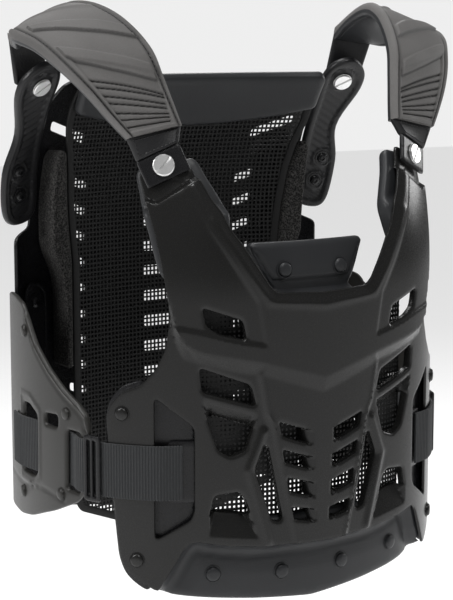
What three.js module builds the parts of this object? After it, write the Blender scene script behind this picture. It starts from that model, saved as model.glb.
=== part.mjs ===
// Roost deflector: a hard chest shell and a hard back shell, joined over the shoulders by two moulded
// foam pads and round the waist by two side wings and webbing. It is shown as worn.
// Millimetres, +Z up, the wearer faces -Y and the wearer's left is +X. The origin is where the two
// shoulder pads rest on the shoulders, midway between them.
import * as THREE from 'three';
import { mergeVertices } from 'three/addons/utils/BufferGeometryUtils.js';

// Driving dimensions of the chest side. Levels are heights over the seat on the shoulders.
const FRONT_TOP = -112; // level of the top of the arms of the chest shell
const FRONT_HEIGHT = 400; // arm top to the lower edge of the belly pad
const FRONT_GIRTH = 200; // centre line to the edge of the side flange, along the curve
const FRONT_DEPTH = 160; // centre of the chest ahead of the origin
const CHEST_RADIUS = 340; // plan curve across the middle of the chest
const CHEST_HALF_FLAT = 95; // half width of that middle curve
const FLANK_RADIUS = 140; // plan curve of the flanks
const FRONT_BEND_LEVEL = -242; // above this level the chest leans back
const FRONT_BEND_RADIUS = 283;
const SHELL_WALL = 3; // moulded plastic
const CHEST_RAISE = 6; // how proud the raised chest stands
const BELT_RAISE = 3; // how proud the centre panel of the belly stands
const POCKET_RAISE = 1; // floor of the pocket that the shoulder tab sits in
const SCOOP_DEPTH = 9; // how far the ramps of the air scoops lead in

// Driving dimensions of the back side.
const BACK_TOP = -54; // level of the top of the back shell
const BACK_HEIGHT = 440;
const BACK_DEPTH = 138; // middle of the back shell behind the origin
const BACK_RADIUS = 600; // plan curve across the back
const BACK_HALF_FLAT = 150; // half width of that curve
const CORNER_RADIUS = 34; // plan curve from the back round to the side
const CORNER_TURN = 74; // degrees from straight back to where the side begins
const SIDE_RADIUS = 320; // plan curve of the side wings
const BACK_BEND_LEVEL = -214; // above this level the back leans forward
const BACK_BEND_RADIUS = 250;
const BACK_WALL = 3.5;
const BACK_GIRTH = 180; // middle to the side edge of the back shell, along the curve
const FLANK_SLOTS = 11; // slanted air slots down each side of the back shell
const SPINE_SLOTS = 7; // slots across its middle
const SLOT_PITCH = 0.0577; // share of BACK_HEIGHT from one slot to the next
const LINER_DEPTH = 108; // middle of the mesh liner behind the origin
const LINER_RADIUS = 400;
const LINER_BEND_LEVEL = -207;
const LINER_BEND_RADIUS = 255;
const LINER_HALF_WIDTH = 118;
const LINER_TOP = -58;
const LINER_HEIGHT = 442;
const MESH_THICKNESS = 3;
const COLLAR_THICKNESS = 12; // smooth pad at the top of the liner
const COLLAR_TOP = -50;
const COLLAR_HEIGHT = 35; // at its ends
const COLLAR_HALF_WIDTH = 136;
const COLLAR_SAG = 15; // how much lower its lower edge hangs in the middle
const FOAM_CLEARANCE = 2.4; // along the liner, between the bolsters and the mesh
const FOAM_PROUD = 2; // how far the bolsters stand in front of the mesh

// Shared pads, straps and fasteners.
const SHOULDER_PAD_THICKNESS = 12;
const SLEEVE_THICKNESS = 8;
const PAD_WIDTH = 86; // widest part of a shoulder pad
const PAD_RISE = 68; // crest of the pad over the line between its ends
const PAD_SECTIONS = 16;
const TAB_LEAD = [4, 5, 26]; // from the arm of the chest shell to the front end of the pad
const TAB_SHOWING = 0.3; // share of that lead before the sleeve covers the tab
const REAR_LEAD = [7, 0, 29]; // from the bracket to the rear end of the pad
const REAR_SLEEVE_SHIFT = 4;
const SEAT_HALF_WIDTH = 17;
const TAB_THICKNESS = 4.5;
const CHEST_PAD_THICKNESS = 14;
const CHEST_PAD_SETBACK = 15; // face of the pad behind the face of the plain shell
const BELLY_PAD_THICKNESS = 15;
const BELLY_PAD_SETBACK = 14;
const BELLY_PAD_HIDDEN = 0.7; // share of its thickness that it is pressed down to behind the shell
const ARM_LINER_THICKNESS = 10;
const FLANK_LINER_THICKNESS = 4;
const FRONT_MESH_THICKNESS = 2;
const BRACKET_THICKNESS = 7;
const BRACKET_GIRTH = 170; // middle line of a shoulder bracket
const BRACKET_WIDTH = 50;
const BRACKET_TOP = -36;
const BRACKET_HEIGHT = 156;
const BRACKET_POINTS = 26; // round its outline
const BRACKET_OVERLAP = 24; // how far the rear sleeve reaches down behind the bracket
const WING_WALL = 3.5;
const WING_TIP = 354; // girth from the middle of the back to the wing's front tip
const WING_LENGTH = 236; // girth from the wing's hidden edge to its front tip
const WING_TOP = -254;
const WING_HEIGHT = 204;
const STRIP_WIDTH = 32; // inner strip between the back shell and the wing
const STRIP_HEIGHT = 90;
const STRIP_THICKNESS = 3;
const STRIP_GIRTH = 148;
const STRIP_LEAD = 4; // how far it stands above the wing
const STRIP_CROWN_STEPS = 8;
const STRIP_RIVET_DROP = 15; // below the top of the wing
const WEBBING_WIDTH = 48;
const WEBBING_THICKNESS = 2.4;
const WEBBING_SLACK = 0.2; // more room behind the wing, where its facets stand proud
const WEBBING_LEVEL = -386; // middle of the side webbing
const ANCHOR_MARGIN = 3;
const ANCHOR_THICKNESS = 3;
const SLIDE_WIDTH = 18;
const SLIDE_BAR = 4;
const SLIDE_MARGIN = 1; // above and below the webbing
const SLIDE_THICKNESS = 3;
const RIVET_RADIUS = 6.3;
const RIVET_HEIGHT = 3.2;
const RIVET_SIDES = 9;
const SCREW_RADIUS = 9.3;
const SCREW_HEIGHT = 2.6;
const SCREW_SIDES = 14;
const HEAD_RIM = 0.45; // height of a head's upright rim, as a share of its height
const HEAD_TOP = 0.75; // radius of its flat top, as a share of its radius
const SCREW_PLACE = { across: 0.5, down: 0.52 }; // of the front screw on its tab, as shares
const FIT = 0.3; // clearance between pieces that lie on each other
const FACET_TOLERANCE = 0.6; // how far a facet may lie off the true curve
const LAYER_GAP = FIT + FACET_TOLERANCE; // between two curved layers
const HOLLOW_GAP = 0.8; // under a head on the hollow side of a wall

const shellPlastic = { color: 0x3a3a38, roughness: 0.45, metalness: 0 };
const wingPlastic = { color: 0x45443f, roughness: 0.5, metalness: 0 };
const blackPlastic = { color: 0x1d1e1f, roughness: 0.5, metalness: 0 };
const vinyl = { color: 0x3c3e41, roughness: 0.6, metalness: 0 };
const shoulderFoam = { color: 0x55524f, roughness: 0.85, metalness: 0 };
const blackFoam = { color: 0x202021, roughness: 0.95, metalness: 0 };
const meshFabric = { color: 0x141414, roughness: 0.9, metalness: 0 };
const webbingNylon = { color: 0x2a2c2d, roughness: 0.8, metalness: 0 };
const steel = { color: 0xcfd0d0, roughness: 0.3, metalness: 0.9 };

const part = new THREE.Group();

function addPiece(name, geometry, finish) {
  const mesh = new THREE.Mesh(geometry, new THREE.MeshStandardMaterial(finish));
  mesh.name = name;
  part.add(mesh);
}

// Adds a piece for the wearer's left, at +X, and its mirror image for the wearer's right.
function addPair(name, geometry, finish) {
  addPiece(`${name}_left`, geometry, finish);
  addPiece(`${name}_right`, mirrored(geometry), finish);
}

function mirrored(geometry) {
  const copy = geometry.clone().scale(-1, 1, 1);
  const index = copy.index.array;
  for (let i = 0; i < index.length; i += 3) {
    [index[i + 1], index[i + 2]] = [index[i + 2], index[i + 1]];
  }
  return copy;
}

// A wall of the body. Its plan is a chain of arcs from the centre line outwards, and above a level it
// bends towards the wearer on a large radius. at() takes girth, level and how proud of the wall.
function bodyWall({ side, arcs, depth, bendLevel, bendRadius }) {
  const starts = [];
  let start = { girth: 0, x: 0, setback: 0, angle: 0 };
  for (const arc of arcs) {
    starts.push({ ...start, radius: arc.radius });
    const end = start.angle + arc.turn;
    start = {
      girth: start.girth + arc.radius * arc.turn,
      x: start.x + arc.radius * (Math.sin(end) - Math.sin(start.angle)),
      setback: start.setback + arc.radius * (Math.cos(start.angle) - Math.cos(end)),
      angle: end,
    };
  }
  function plan(girth) {
    const reach = Math.abs(girth);
    const arc = starts.findLast((s) => s.girth <= reach);
    const angle = arc.angle + (reach - arc.girth) / arc.radius;
    return {
      x: Math.sign(girth) * (arc.x + arc.radius * (Math.sin(angle) - Math.sin(arc.angle))),
      setback: arc.setback + arc.radius * (Math.cos(arc.angle) - Math.cos(angle)),
      angle: Math.sign(girth) * angle,
    };
  }
  function lean(level) {
    const rise = Math.max(0, level - bendLevel);
    const run = Math.sqrt(bendRadius * bendRadius - rise * rise);
    return { depth: depth - bendRadius + run, slope: -rise / run };
  }
  function at(girth, level, proud = 0) {
    const p = plan(girth);
    const l = lean(level);
    const y = side * (l.depth - p.setback);
    return new THREE.Vector3(p.x, y, level).addScaledVector(normal(girth, level), proud);
  }
  function normal(girth, level) {
    const angle = plan(girth).angle;
    const slope = lean(level).slope;
    return new THREE.Vector3(
      Math.sin(angle), side * Math.cos(angle), -Math.cos(angle) * slope).normalize();
  }
  return { side, at, normal };
}

const front = bodyWall({
  side: -1,
  arcs: [
    { radius: CHEST_RADIUS, turn: Math.asin(CHEST_HALF_FLAT / CHEST_RADIUS) },
    { radius: FLANK_RADIUS, turn: Math.PI / 2 },
  ],
  depth: FRONT_DEPTH,
  bendLevel: FRONT_BEND_LEVEL,
  bendRadius: FRONT_BEND_RADIUS,
});
const backTurn = Math.asin(BACK_HALF_FLAT / BACK_RADIUS);
const back = bodyWall({
  side: 1,
  arcs: [
    { radius: BACK_RADIUS, turn: backTurn },
    { radius: CORNER_RADIUS, turn: THREE.MathUtils.degToRad(CORNER_TURN) - backTurn },
    { radius: SIDE_RADIUS, turn: Math.PI / 2 },
  ],
  depth: BACK_DEPTH,
  bendLevel: BACK_BEND_LEVEL,
  bendRadius: BACK_BEND_RADIUS,
});
// The shoulder brackets lie on the back curve carried straight on, with no corner.
const bracketWall = bodyWall({
  side: 1,
  arcs: [{ radius: BACK_RADIUS, turn: Math.PI / 2 }],
  depth: BACK_DEPTH,
  bendLevel: BACK_BEND_LEVEL,
  bendRadius: BACK_BEND_RADIUS,
});
const liner = bodyWall({
  side: 1,
  arcs: [{ radius: LINER_RADIUS, turn: Math.PI / 2 }],
  depth: LINER_DEPTH,
  bendLevel: LINER_BEND_LEVEL,
  bendRadius: LINER_BEND_RADIUS,
});

// Builds a closed solid between an outer and an inner face that share one net. Regions are polygons
// of points [girth, level, proud], with holes, and neighbours share their border points. outer and
// inner turn such a point into a place in space. Edges are halved until facets follow the curve.
function plate(regions, outer, inner, side) {
  const net = [];
  const ids = new Map();
  const idOf = (point) => {
    const key = `${point[0].toFixed(2)},${point[1].toFixed(2)}`;
    if (!ids.has(key)) {
      ids.set(key, net.length);
      net.push(point);
    }
    return ids.get(key);
  };
  let faces = [];
  for (const { outline, holes = [] } of regions) {
    const flat = (points) => points.map((p) => new THREE.Vector2(p[0], p[1]));
    const points = [...outline, ...holes.flat()];
    for (const face of THREE.ShapeUtils.triangulateShape(flat(outline), holes.map(flat))) {
      const [a, b, c] = face.map((i) => points[i]);
      const area = (b[0] - a[0]) * (c[1] - a[1]) - (c[0] - a[0]) * (b[1] - a[1]);
      const corner = [idOf(a), idOf(b), idOf(c)];
      faces.push(area > 0 ? corner : corner.reverse());
    }
  }
  for (let split = true; split;) {
    const middles = new Map();
    const middleOf = (i, j) => {
      const key = i < j ? `${i},${j}` : `${j},${i}`;
      if (!middles.has(key)) {
        const point = net[i].map((value, axis) => (value + net[j][axis]) / 2);
        const chord = outer(net[i]).add(outer(net[j])).multiplyScalar(0.5);
        const far = chord.distanceTo(outer(point)) > FACET_TOLERANCE;
        middles.set(key, far ? net.push(point) - 1 : -1);
      }
      return middles.get(key);
    };
    const halved = faces.flatMap(([a, b, c]) => {
      const corners = [a, b, c];
      const cuts = [middleOf(a, b), middleOf(b, c), middleOf(c, a)];
      const count = cuts.filter((m) => m >= 0).length;
      if (count === 0) return [corners];
      if (count === 3) {
        const [ab, bc, ca] = cuts;
        return [[a, ab, ca], [ab, b, bc], [ca, bc, c], [ab, bc, ca]];
      }
      const first = count === 1
        ? cuts.findIndex((m) => m >= 0)
        : (cuts.findIndex((m) => m < 0) + 1) % 3;
      const [p, q, r] = [0, 1, 2].map((k) => corners[(first + k) % 3]);
      const [pq, qr] = [cuts[first], cuts[(first + 1) % 3]];
      return count === 1
        ? [[p, pq, r], [pq, q, r]]
        : [[pq, q, qr], [p, pq, qr], [p, qr, r]];
    });
    split = halved.length > faces.length;
    faces = halved;
  }
  const count = net.length;
  const positions = [...net.map(outer), ...net.map(inner)].flatMap((p) => p.toArray());
  const index = [];
  const edges = new Map();
  for (const [a, b, c] of faces) {
    index.push(a, b, c, count + c, count + b, count + a);
    for (const [i, j] of [[a, b], [b, c], [c, a]]) {
      if (!edges.delete(`${j},${i}`)) edges.set(`${i},${j}`, [i, j]);
    }
  }
  for (const [i, j] of edges.values()) {
    index.push(j, i, count + i, j, count + i, count + j);
  }
  return indexed(positions, side < 0 ? index : flipped(index));
}

function flipped(index) {
  return index.flatMap((value, i) => (i % 3 === 0 ? [index[i], index[i + 2], index[i + 1]] : []));
}

function indexed(positions, index) {
  const geometry = new THREE.BufferGeometry();
  geometry.setAttribute('position', new THREE.Float32BufferAttribute(positions, 3));
  geometry.setIndex(index);
  return geometry;
}

// A sheet of even thickness on a wall: a point's third value is how proud its outer face stands.
function sheetOn(wall, thickness, regions) {
  return plate(
    regions,
    ([girth, level, proud]) => wall.at(girth, level, proud),
    ([girth, level, proud]) => wall.at(girth, level, proud - thickness),
    wall.side,
  );
}

// Turns rows of shares [across, down, proud] into points of a wall.
function placed(rows, frame) {
  return rows.map(([across, down, proud = frame.proud ?? 0]) => [
    (frame.start ?? 0) + across * frame.width,
    frame.top - down * frame.height,
    proud,
  ]);
}

const mirrorPoints = (points) => points.map(([girth, ...rest]) => [-girth, ...rest]).reverse();

// A region that crosses the centre line, from the right half of its outline.
const acrossCentre = (half) => [...half, ...mirrorPoints(half.filter(([girth]) => girth > 0))];

const bothSides = (regions) => regions.flatMap((region) => [
  region,
  { outline: mirrorPoints(region.outline), holes: (region.holes ?? []).map(mirrorPoints) },
]);

// The chest shell. Rows hold shares of FRONT_GIRTH across and of FRONT_HEIGHT down from FRONT_TOP.
const frontFrame = { width: FRONT_GIRTH, top: FRONT_TOP, height: FRONT_HEIGHT };
const onFront = (rows, proud) => placed(rows, { ...frontFrame, proud });

const armTopLine = [[0.566, 0.01], [0.772, 0.05]];
const pocketLipOuter = [[0.764, 0.098], [0.718, 0.106], [0.532, 0.055]];
const pocketLipInner = [[0.762, 0.108], [0.716, 0.115], [0.52, 0.063]];
const armOuterEdge = [[0.74, 0.17], [0.728, 0.225], [0.71, 0.29]];
const neckEdge = [
  [0.481, 0.1075], [0.45, 0.13], [0.42, 0.1675], [0.38, 0.195], [0.324, 0.24],
  [0.278, 0.275], [0.263, 0.287], [0.228, 0.3025], [0, 0.3075],
];
const stepTopLine = [
  [0.71, 0.29], [0.672, 0.365], [0.655, 0.39], [0.62, 0.413], [0.58, 0.423],
  [0.278, 0.455], [0, 0.495],
];
const stepLowSide = [[0.698, 0.352], [0.668, 0.41], [0.635, 0.438], [0.572, 0.447], [0.38, 0.472]];
const flangeEdge = [
  [0.715, 0.415], [0.76, 0.4625], [0.827, 0.4975], [0.91, 0.5125], [0.968, 0.5425],
  [0.985, 0.57], [0.98, 0.625], [0.95, 0.7675], [0.925, 0.875], [0.9, 0.9025],
  [0.855, 0.9225], [0.753, 0.95],
];
const archSide = [[0.656, 0.8675], [0.632, 0.8475], [0.594, 0.8375], [0.43, 0.8525], [0.28, 0.86]];
const panelBevelLow = [[0.326, 0.476], [0.292, 0.5625], [0.264, 0.5925], [0.147, 0.862]];
const panelBevelTop = [[0.3, 0.478], [0.27, 0.5625], [0.242, 0.5925], [0.125, 0.8625]];
const panelTopMiddle = [[0, 0.5275]];
const archMiddle = [[0, 0.8625]];

const chestVent = [
  [0.561, 0.3275], [0.39, 0.3575], [0.372, 0.4], [0.491, 0.385], [0.545, 0.3675], [0.556, 0.3425],
];
const flankVent = [[0.572, 0.4575], [0.345, 0.5], [0.319, 0.5475], [0.561, 0.51]];
const upperScoop = [
  [0.561, 0.525], [0.319, 0.565], [0.321, 0.575], [0.365, 0.6425], [0.435, 0.655],
  [0.491, 0.6375], [0.535, 0.575],
];
const upperScoopRampEnd = [[0.345, 0.592], [0.52, 0.565]];
const lowerScoop = [
  [0.508, 0.7375], [0.4, 0.7325], [0.372, 0.745], [0.303, 0.84], [0.529, 0.825], [0.537, 0.8],
];
const lowerScoopRampEnd = [[0.5, 0.775], [0.375, 0.785]];
const kiteVent = [
  [0.276, 0.635], [0.321, 0.6875], [0.244, 0.8025], [0.205, 0.8075], [0.194, 0.7975], [0.261, 0.64],
];
const strapOpening = [
  [0.766, 0.52], [0.61, 0.58], [0.594, 0.5925], [0.594, 0.77], [0.61, 0.79], [0.766, 0.835],
];
// The slots beside the centre line, one row for each: shares across of both ends, how far the far end
// tapers, and shares down of the far top corner, the drop to the near one and the height.
const bellySlots = [
  { far: 0.217, near: 0.054, taper: 0.015, level: 0.585, drop: 0.0275, height: 0.031 },
  { far: 0.197, near: 0.0455, taper: 0.01, level: 0.6475, drop: 0.025, height: 0.0275 },
  { far: 0.175, near: 0.0395, taper: 0.008, level: 0.71, drop: 0.02, height: 0.031 },
  { far: 0.153, near: 0.032, taper: 0.013, level: 0.7775, drop: 0.0115, height: 0.027 },
];
const slotOutline = (slot) => [
  [slot.far, slot.level],
  [slot.near, slot.level + slot.drop],
  [slot.near, slot.level + slot.drop + slot.height],
  [slot.far - slot.taper, slot.level + slot.height],
];

function frontShell() {
  const panelTop = [...onFront(panelBevelTop, BELT_RAISE)];
  const bevelLow = onFront(panelBevelLow, 0);
  const stepLow = onFront(stepLowSide, 0);
  const centreLow = onFront(panelTopMiddle, BELT_RAISE);
  const stepTop = onFront(stepTopLine, CHEST_RAISE);
  const lipTop = onFront(pocketLipInner, CHEST_RAISE);
  const lipFloor = onFront(pocketLipOuter, POCKET_RAISE);
  const sides = bothSides([
    { outline: [...lipFloor, ...onFront(armTopLine, POCKET_RAISE)] },
    { outline: [...lipTop, ...lipFloor.toReversed()] },
    { outline: [bevelLow[0], ...panelTop, ...bevelLow.slice(1).reverse()] },
    {
      outline: [
        ...stepLow, ...bevelLow, ...onFront(archSide, 0).reverse(), ...onFront(flangeEdge, 0).reverse(),
      ],
      holes: [flankVent, upperScoop, lowerScoop, kiteVent, strapOpening].map((v) => onFront(v, 0)),
    },
    {
      outline: [
        ...onFront([upperScoop[1], upperScoop[0]], 0),
        ...onFront(upperScoopRampEnd, -SCOOP_DEPTH).reverse(),
      ],
    },
    {
      outline: [
        ...onFront([lowerScoop[3], lowerScoop[4]], 0),
        ...onFront(lowerScoopRampEnd, -SCOOP_DEPTH),
      ],
    },
  ]);
  const chest = acrossCentre([
    ...stepTop.toReversed(), ...onFront(armOuterEdge.slice(0, -1), CHEST_RAISE).reverse(),
    ...lipTop, ...onFront(neckEdge, CHEST_RAISE),
  ]);
  const chestHole = onFront(chestVent, CHEST_RAISE);
  const step = acrossCentre([
    centreLow[0], panelTop[0], bevelLow[0], ...stepLow.toReversed(), ...stepTop,
  ]);
  const belly = acrossCentre([
    ...onFront(archMiddle, BELT_RAISE), ...panelTop.toReversed(), centreLow[0],
  ]);
  const slots = bellySlots.map((slot) => onFront(slotOutline(slot), BELT_RAISE));
  return sheetOn(front, SHELL_WALL, [
    ...sides,
    { outline: chest, holes: [chestHole, mirrorPoints(chestHole)] },
    { outline: step },
    { outline: belly, holes: slots.flatMap((slot) => [slot, mirrorPoints(slot)]) },
  ]);
}

// A pad or plate on a wall whose points name the levels of both faces: [girth, level, outer, inner].
function padOn(wall, regions) {
  return plate(
    regions,
    ([girth, level, outer]) => wall.at(girth, level, outer),
    ([girth, level, , inner]) => wall.at(girth, level, inner),
    wall.side,
  );
}

const withFaces = (points, outer, inner) => points.map(([girth, level]) => [girth, level, outer, inner]);

// The chest pad fills the neck notch. Its face is set back, and its lower edge swells forward behind
// the shell, which it lies against.
function chestPad() {
  const face = -CHEST_PAD_SETBACK;
  const rear = face - CHEST_PAD_THICKNESS;
  const seat = CHEST_RAISE - SHELL_WALL - LAYER_GAP;
  const top = withFaces(onFront([[0, 0.1925], [0.295, 0.1925], [0.315, 0.203]]), face, rear);
  const bottom = withFaces(onFront([[0.24, 0.284], [0.222, 0.295], [0, 0.297]]), face, rear);
  const swell = withFaces(onFront([[0, 0.325], [0.2, 0.322]]), seat, rear);
  const foot = withFaces(onFront([[0.19, 0.36], [0, 0.36]]), seat, rear);
  return padOn(front, [
    { outline: acrossCentre([...top, ...bottom]) },
    { outline: acrossCentre([bottom[2], bottom[1], swell[1], swell[0]].reverse()) },
    { outline: acrossCentre([swell[0], swell[1], ...foot]) },
  ]);
}

// A mesh liner behind the air vents, between the chest pad and the belly pad.
function frontMesh() {
  const behindRamps = -SCOOP_DEPTH - SHELL_WALL - LAYER_GAP;
  return sheetOn(front, FRONT_MESH_THICKNESS, [{
    outline: acrossCentre(onFront([
      [0, 0.372], [0.21, 0.372], [0.24, 0.31], [0.56, 0.305], [0.572, 0.32], [0.572, 0.8],
      [0.56, 0.816], [0.45, 0.841], [0.295, 0.841], [0.272, 0.792], [0.258, 0.79], [0, 0.785],
    ].reverse(), behindRamps)),
  }]);
}

// The belly pad lies behind the lower edge of the shell and shows in its arch, set back.
function bellyPad() {
  const seat = -SHELL_WALL - LAYER_GAP;
  const hiddenRear = seat - BELLY_PAD_THICKNESS * BELLY_PAD_HIDDEN;
  const face = -BELLY_PAD_SETBACK;
  const rear = face - BELLY_PAD_THICKNESS;
  const hiddenEdge = withFaces(onFront([
    [0, 0.795], [0.26, 0.8], [0.285, 0.846], [0.45, 0.846], [0.56, 0.822], [0.64, 0.83],
    [0.7, 0.868], [0.785, 0.945],
  ]), seat, hiddenRear);
  const archLine = withFaces(
    onFront([[0.753, 0.948], ...archSide.slice(0, 4), [0.28, 0.86], ...archMiddle]), seat, hiddenRear);
  const setbackLine = withFaces(onFront([
    [0, 0.885], [0.28, 0.882], [0.43, 0.875], [0.58, 0.86], [0.61, 0.87], [0.63, 0.885], [0.7, 0.945],
  ]), face, rear);
  const corner = withFaces(onFront([[0.742, 0.962]]), face, rear);
  const hem = withFaces(onFront([[0.7, 0.967], [0.54, 0.975], [0.3, 0.9875], [0, 1]]), face, rear);
  return padOn(front, [
    { outline: acrossCentre([...archLine.toReversed(), ...hiddenEdge.toReversed()]) },
    { outline: acrossCentre([...setbackLine, ...corner, ...archLine]) },
    { outline: acrossCentre([...hem.toReversed(), ...corner, ...setbackLine.toReversed()]) },
  ]);
}

// The lining of a side flange shows as a rim round the flange's edge. Further in it steps back behind
// the webbing and closes the opening that the webbing comes through.
function flankLiner() {
  const rimFace = -SHELL_WALL - LAYER_GAP;
  const backFace = rimFace - ANCHOR_THICKNESS - LAYER_GAP;
  const faces = (rows, outer) => withFaces(onFront(rows), outer, outer - FLANK_LINER_THICKNESS);
  const rim = faces([
    [0.8, 0.5], [0.83, 0.486], [0.915, 0.499], [0.98, 0.532], [1, 0.567], [0.996, 0.627],
    [0.966, 0.77], [0.941, 0.88], [0.91, 0.915], [0.862, 0.936], [0.8, 0.953],
  ], rimFace);
  const closing = faces([
    [0.775, 0.5], [0.6, 0.565], [0.58, 0.58], [0.58, 0.8], [0.6, 0.808], [0.655, 0.825],
    [0.775, 0.925],
  ], backFace);
  return padOn(front, [
    { outline: rim },
    { outline: [rim[0], rim.at(-1), closing.at(-1), closing[0]] },
    { outline: closing },
  ]);
}

// The padded lining of a chest arm stands out on both sides of it. It lies against the pocket above
// and against the raised chest below.
function armLiner() {
  const high = CHEST_RAISE - SHELL_WALL - LAYER_GAP;
  const low = POCKET_RAISE - SHELL_WALL - LAYER_GAP;
  const faces = (rows, outer) => withFaces(onFront(rows), outer, low - ARM_LINER_THICKNESS);
  const top = faces([[0.789, 0.118], [0.79, 0.05], [0.77, 0.035], [0.525, 0.012], [0.503, 0.02],
    [0.475, 0.0575], [0.445, 0.088]], low);
  const bottom = faces([[0.405, 0.135], [0.44, 0.2], [0.52, 0.28], [0.6, 0.29], [0.67, 0.285],
    [0.735, 0.262], [0.757, 0.215], [0.775, 0.155]], high);
  return padOn(front, [
    { outline: top },
    { outline: [top[0], top.at(-1), bottom[0], bottom.at(-1)] },
    { outline: bottom },
  ]);
}

// The back shell. Rows hold shares of BACK_GIRTH across and of BACK_HEIGHT down from BACK_TOP.
const backFrame = { width: BACK_GIRTH, top: BACK_TOP, height: BACK_HEIGHT };
const onBack = (rows, proud) => placed(rows, { ...backFrame, proud });

// The shell is drawn in upright columns, so that its net stays even: the middle, the plain band beside
// it, the slotted flank and the outer edge. Above BACK_YOKE there are no flank slots.
const BACK_YOKE = 0.2;
const [MIDDLE, BAND, FLANK] = [0.25, 0.42, 0.62];
const backTopCorner = [[0.655, 0], [0.75, 0.018], [0.82, 0.06], [0.84, 0.12], [0.84, BACK_YOKE]];
const backFlankEdge = [[0.84, BACK_YOKE], [0.84, 0.327], [0.84, 0.912], [0.7, 0.935]];
const backCornerEdge = [
  [0.84, 0.327], [0.989, 0.35], [0.989, 0.5], [0.944, 0.56], [0.944, 0.86], [0.9, 0.9], [0.84, 0.912],
];
const BACK_ROWS = 13; // rows of slot pitch below the yoke
const shoulderSlot = [[0.763, 0.093], [0.525, 0.127], [0.525, 0.148], [0.763, 0.114]];

function backShell() {
  const slotRow = (count, first, corners) => Array.from({ length: count }, (_, i) => onBack(
    corners.map(([across, down]) => [across, first + i * SLOT_PITCH + down]), 0));
  const flankSlots = slotRow(
    FLANK_SLOTS, 0.22, [[0.578, 0], [0.467, 0.016], [0.467, 0.034], [0.578, 0.018]]);
  const spineSlots = slotRow(
    SPINE_SLOTS, 0.32, [[0.083, 0], [-0.083, 0], [-0.083, 0.025], [0.083, 0.025]]);
  const upright = (across, hem) => onBack(
    [...Array.from({ length: BACK_ROWS }, (_, i) => [across, BACK_YOKE + i * SLOT_PITCH]), [across, hem]], 0);
  const [centre, middle, band, flank] = [
    upright(0, 0.995), upright(MIDDLE, 0.988), upright(BAND, 0.97), upright(FLANK, 0.945)];
  const top = onBack([[0, 0], [MIDDLE, 0], [BAND, 0]], 0);
  const between = (left, right) => [...right, ...left.toReversed()];
  return sheetOn(back, BACK_WALL, [
    { outline: acrossCentre([top[0], top[1], middle[0], centre[0]]) },
    { outline: acrossCentre([centre[0], ...middle, centre.at(-1)]), holes: spineSlots },
    ...bothSides([
      { outline: [top[1], top[2], band[0], middle[0]] },
      {
        outline: [top[2], ...onBack(backTopCorner, 0), flank[0], band[0]],
        holes: [onBack(shoulderSlot, 0)],
      },
      { outline: between(middle, band) },
      { outline: between(band, flank), holes: flankSlots },
      { outline: [...onBack(backFlankEdge, 0), ...flank.toReversed()] },
      { outline: onBack(backCornerEdge, 0) },
    ]),
  ]);
}

// The mesh liner hangs ahead of the back shell, from the collar pad down, between two foam bolsters.
// Rows hold shares of LINER_HALF_WIDTH across and of LINER_HEIGHT down from LINER_TOP.
const onLiner = (rows, proud) => placed(
  rows, { width: LINER_HALF_WIDTH, top: LINER_TOP, height: LINER_HEIGHT, proud });

const linerEdge = [
  [1.16, 0.065], [1.15, 0.104], [1.1, 0.15], [1.06, 0.206], [1.02, 0.303], [0.985, 0.39],
];

function meshPanel() {
  const outline = acrossCentre(onLiner(
    [[0, 0], [1.1, 0], ...linerEdge, [0.985, 0.92], [0.93, 0.945], [0.6, 0.98], [0.3, 1.01], [0, 1.02]],
    MESH_THICKNESS,
  ));
  return sheetOn(liner, MESH_THICKNESS, [{ outline }]);
}

function collarPad() {
  const lower = [1, 0.75, 0.5, 0.25, 0].map((share) => [
    share * COLLAR_HALF_WIDTH, COLLAR_TOP - COLLAR_HEIGHT - COLLAR_SAG * (1 - share * share), -LAYER_GAP]);
  const upper = [[0, COLLAR_TOP], [COLLAR_HALF_WIDTH * 0.96, COLLAR_TOP],
    [COLLAR_HALF_WIDTH, COLLAR_TOP - COLLAR_HEIGHT * 0.15]];
  const outline = acrossCentre([...upper.map(([x, z]) => [x, z, -LAYER_GAP]), ...lower]);
  return sheetOn(liner, COLLAR_THICKNESS, [{ outline }]);
}

// A foam bolster runs down beside the mesh. It fills the space between the liner and the back shell.
function backFoam() {
  const gap = FOAM_CLEARANCE / LINER_HALF_WIDTH;
  const inner = linerEdge.slice(2).map(([across, down]) => [across + gap, down]);
  const outline = onLiner([
    ...inner, [0.985 + gap, 0.62], [1.07, 0.62], [1.07, 0.46], [1.1, 0.42], [1.21, 0.356],
    [1.225, 0.25], [1.215, 0.16], [1.18, 0.143],
  ]);
  return plate(
    [{ outline }],
    ([girth, level]) => {
      const x = liner.at(girth, level).x;
      return back.at(BACK_RADIUS * Math.asin(x / BACK_RADIUS), level, -BACK_WALL - LAYER_GAP);
    },
    ([girth, level]) => liner.at(girth, level, -FOAM_PROUD),
    1,
  );
}

// A shoulder bracket: a flat moulded arm on the inside of the back shell. Rows hold shares of
// BRACKET_WIDTH across from its middle line and of BRACKET_HEIGHT down from BRACKET_TOP.
const bracketRows = [
  [0.04, 0], [0.42, 0.09], [0.48, 0.19], [0.26, 0.44], [0.42, 0.68], [0.32, 0.95], [0.16, 1],
  [-0.24, 0.98], [-0.4, 0.91], [-0.38, 0.68], [-0.38, 0.47], [-0.38, 0.29], [-0.42, 0.09], [-0.3, 0.02],
];
const onBracket = (rows, proud) => placed(rows, {
  start: BRACKET_GIRTH, width: BRACKET_WIDTH, top: BRACKET_TOP, height: BRACKET_HEIGHT, proud });
const BRACKET_BACK = -BACK_WALL - LAYER_GAP;
const BRACKET_FACE = BRACKET_BACK - BRACKET_THICKNESS;

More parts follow.
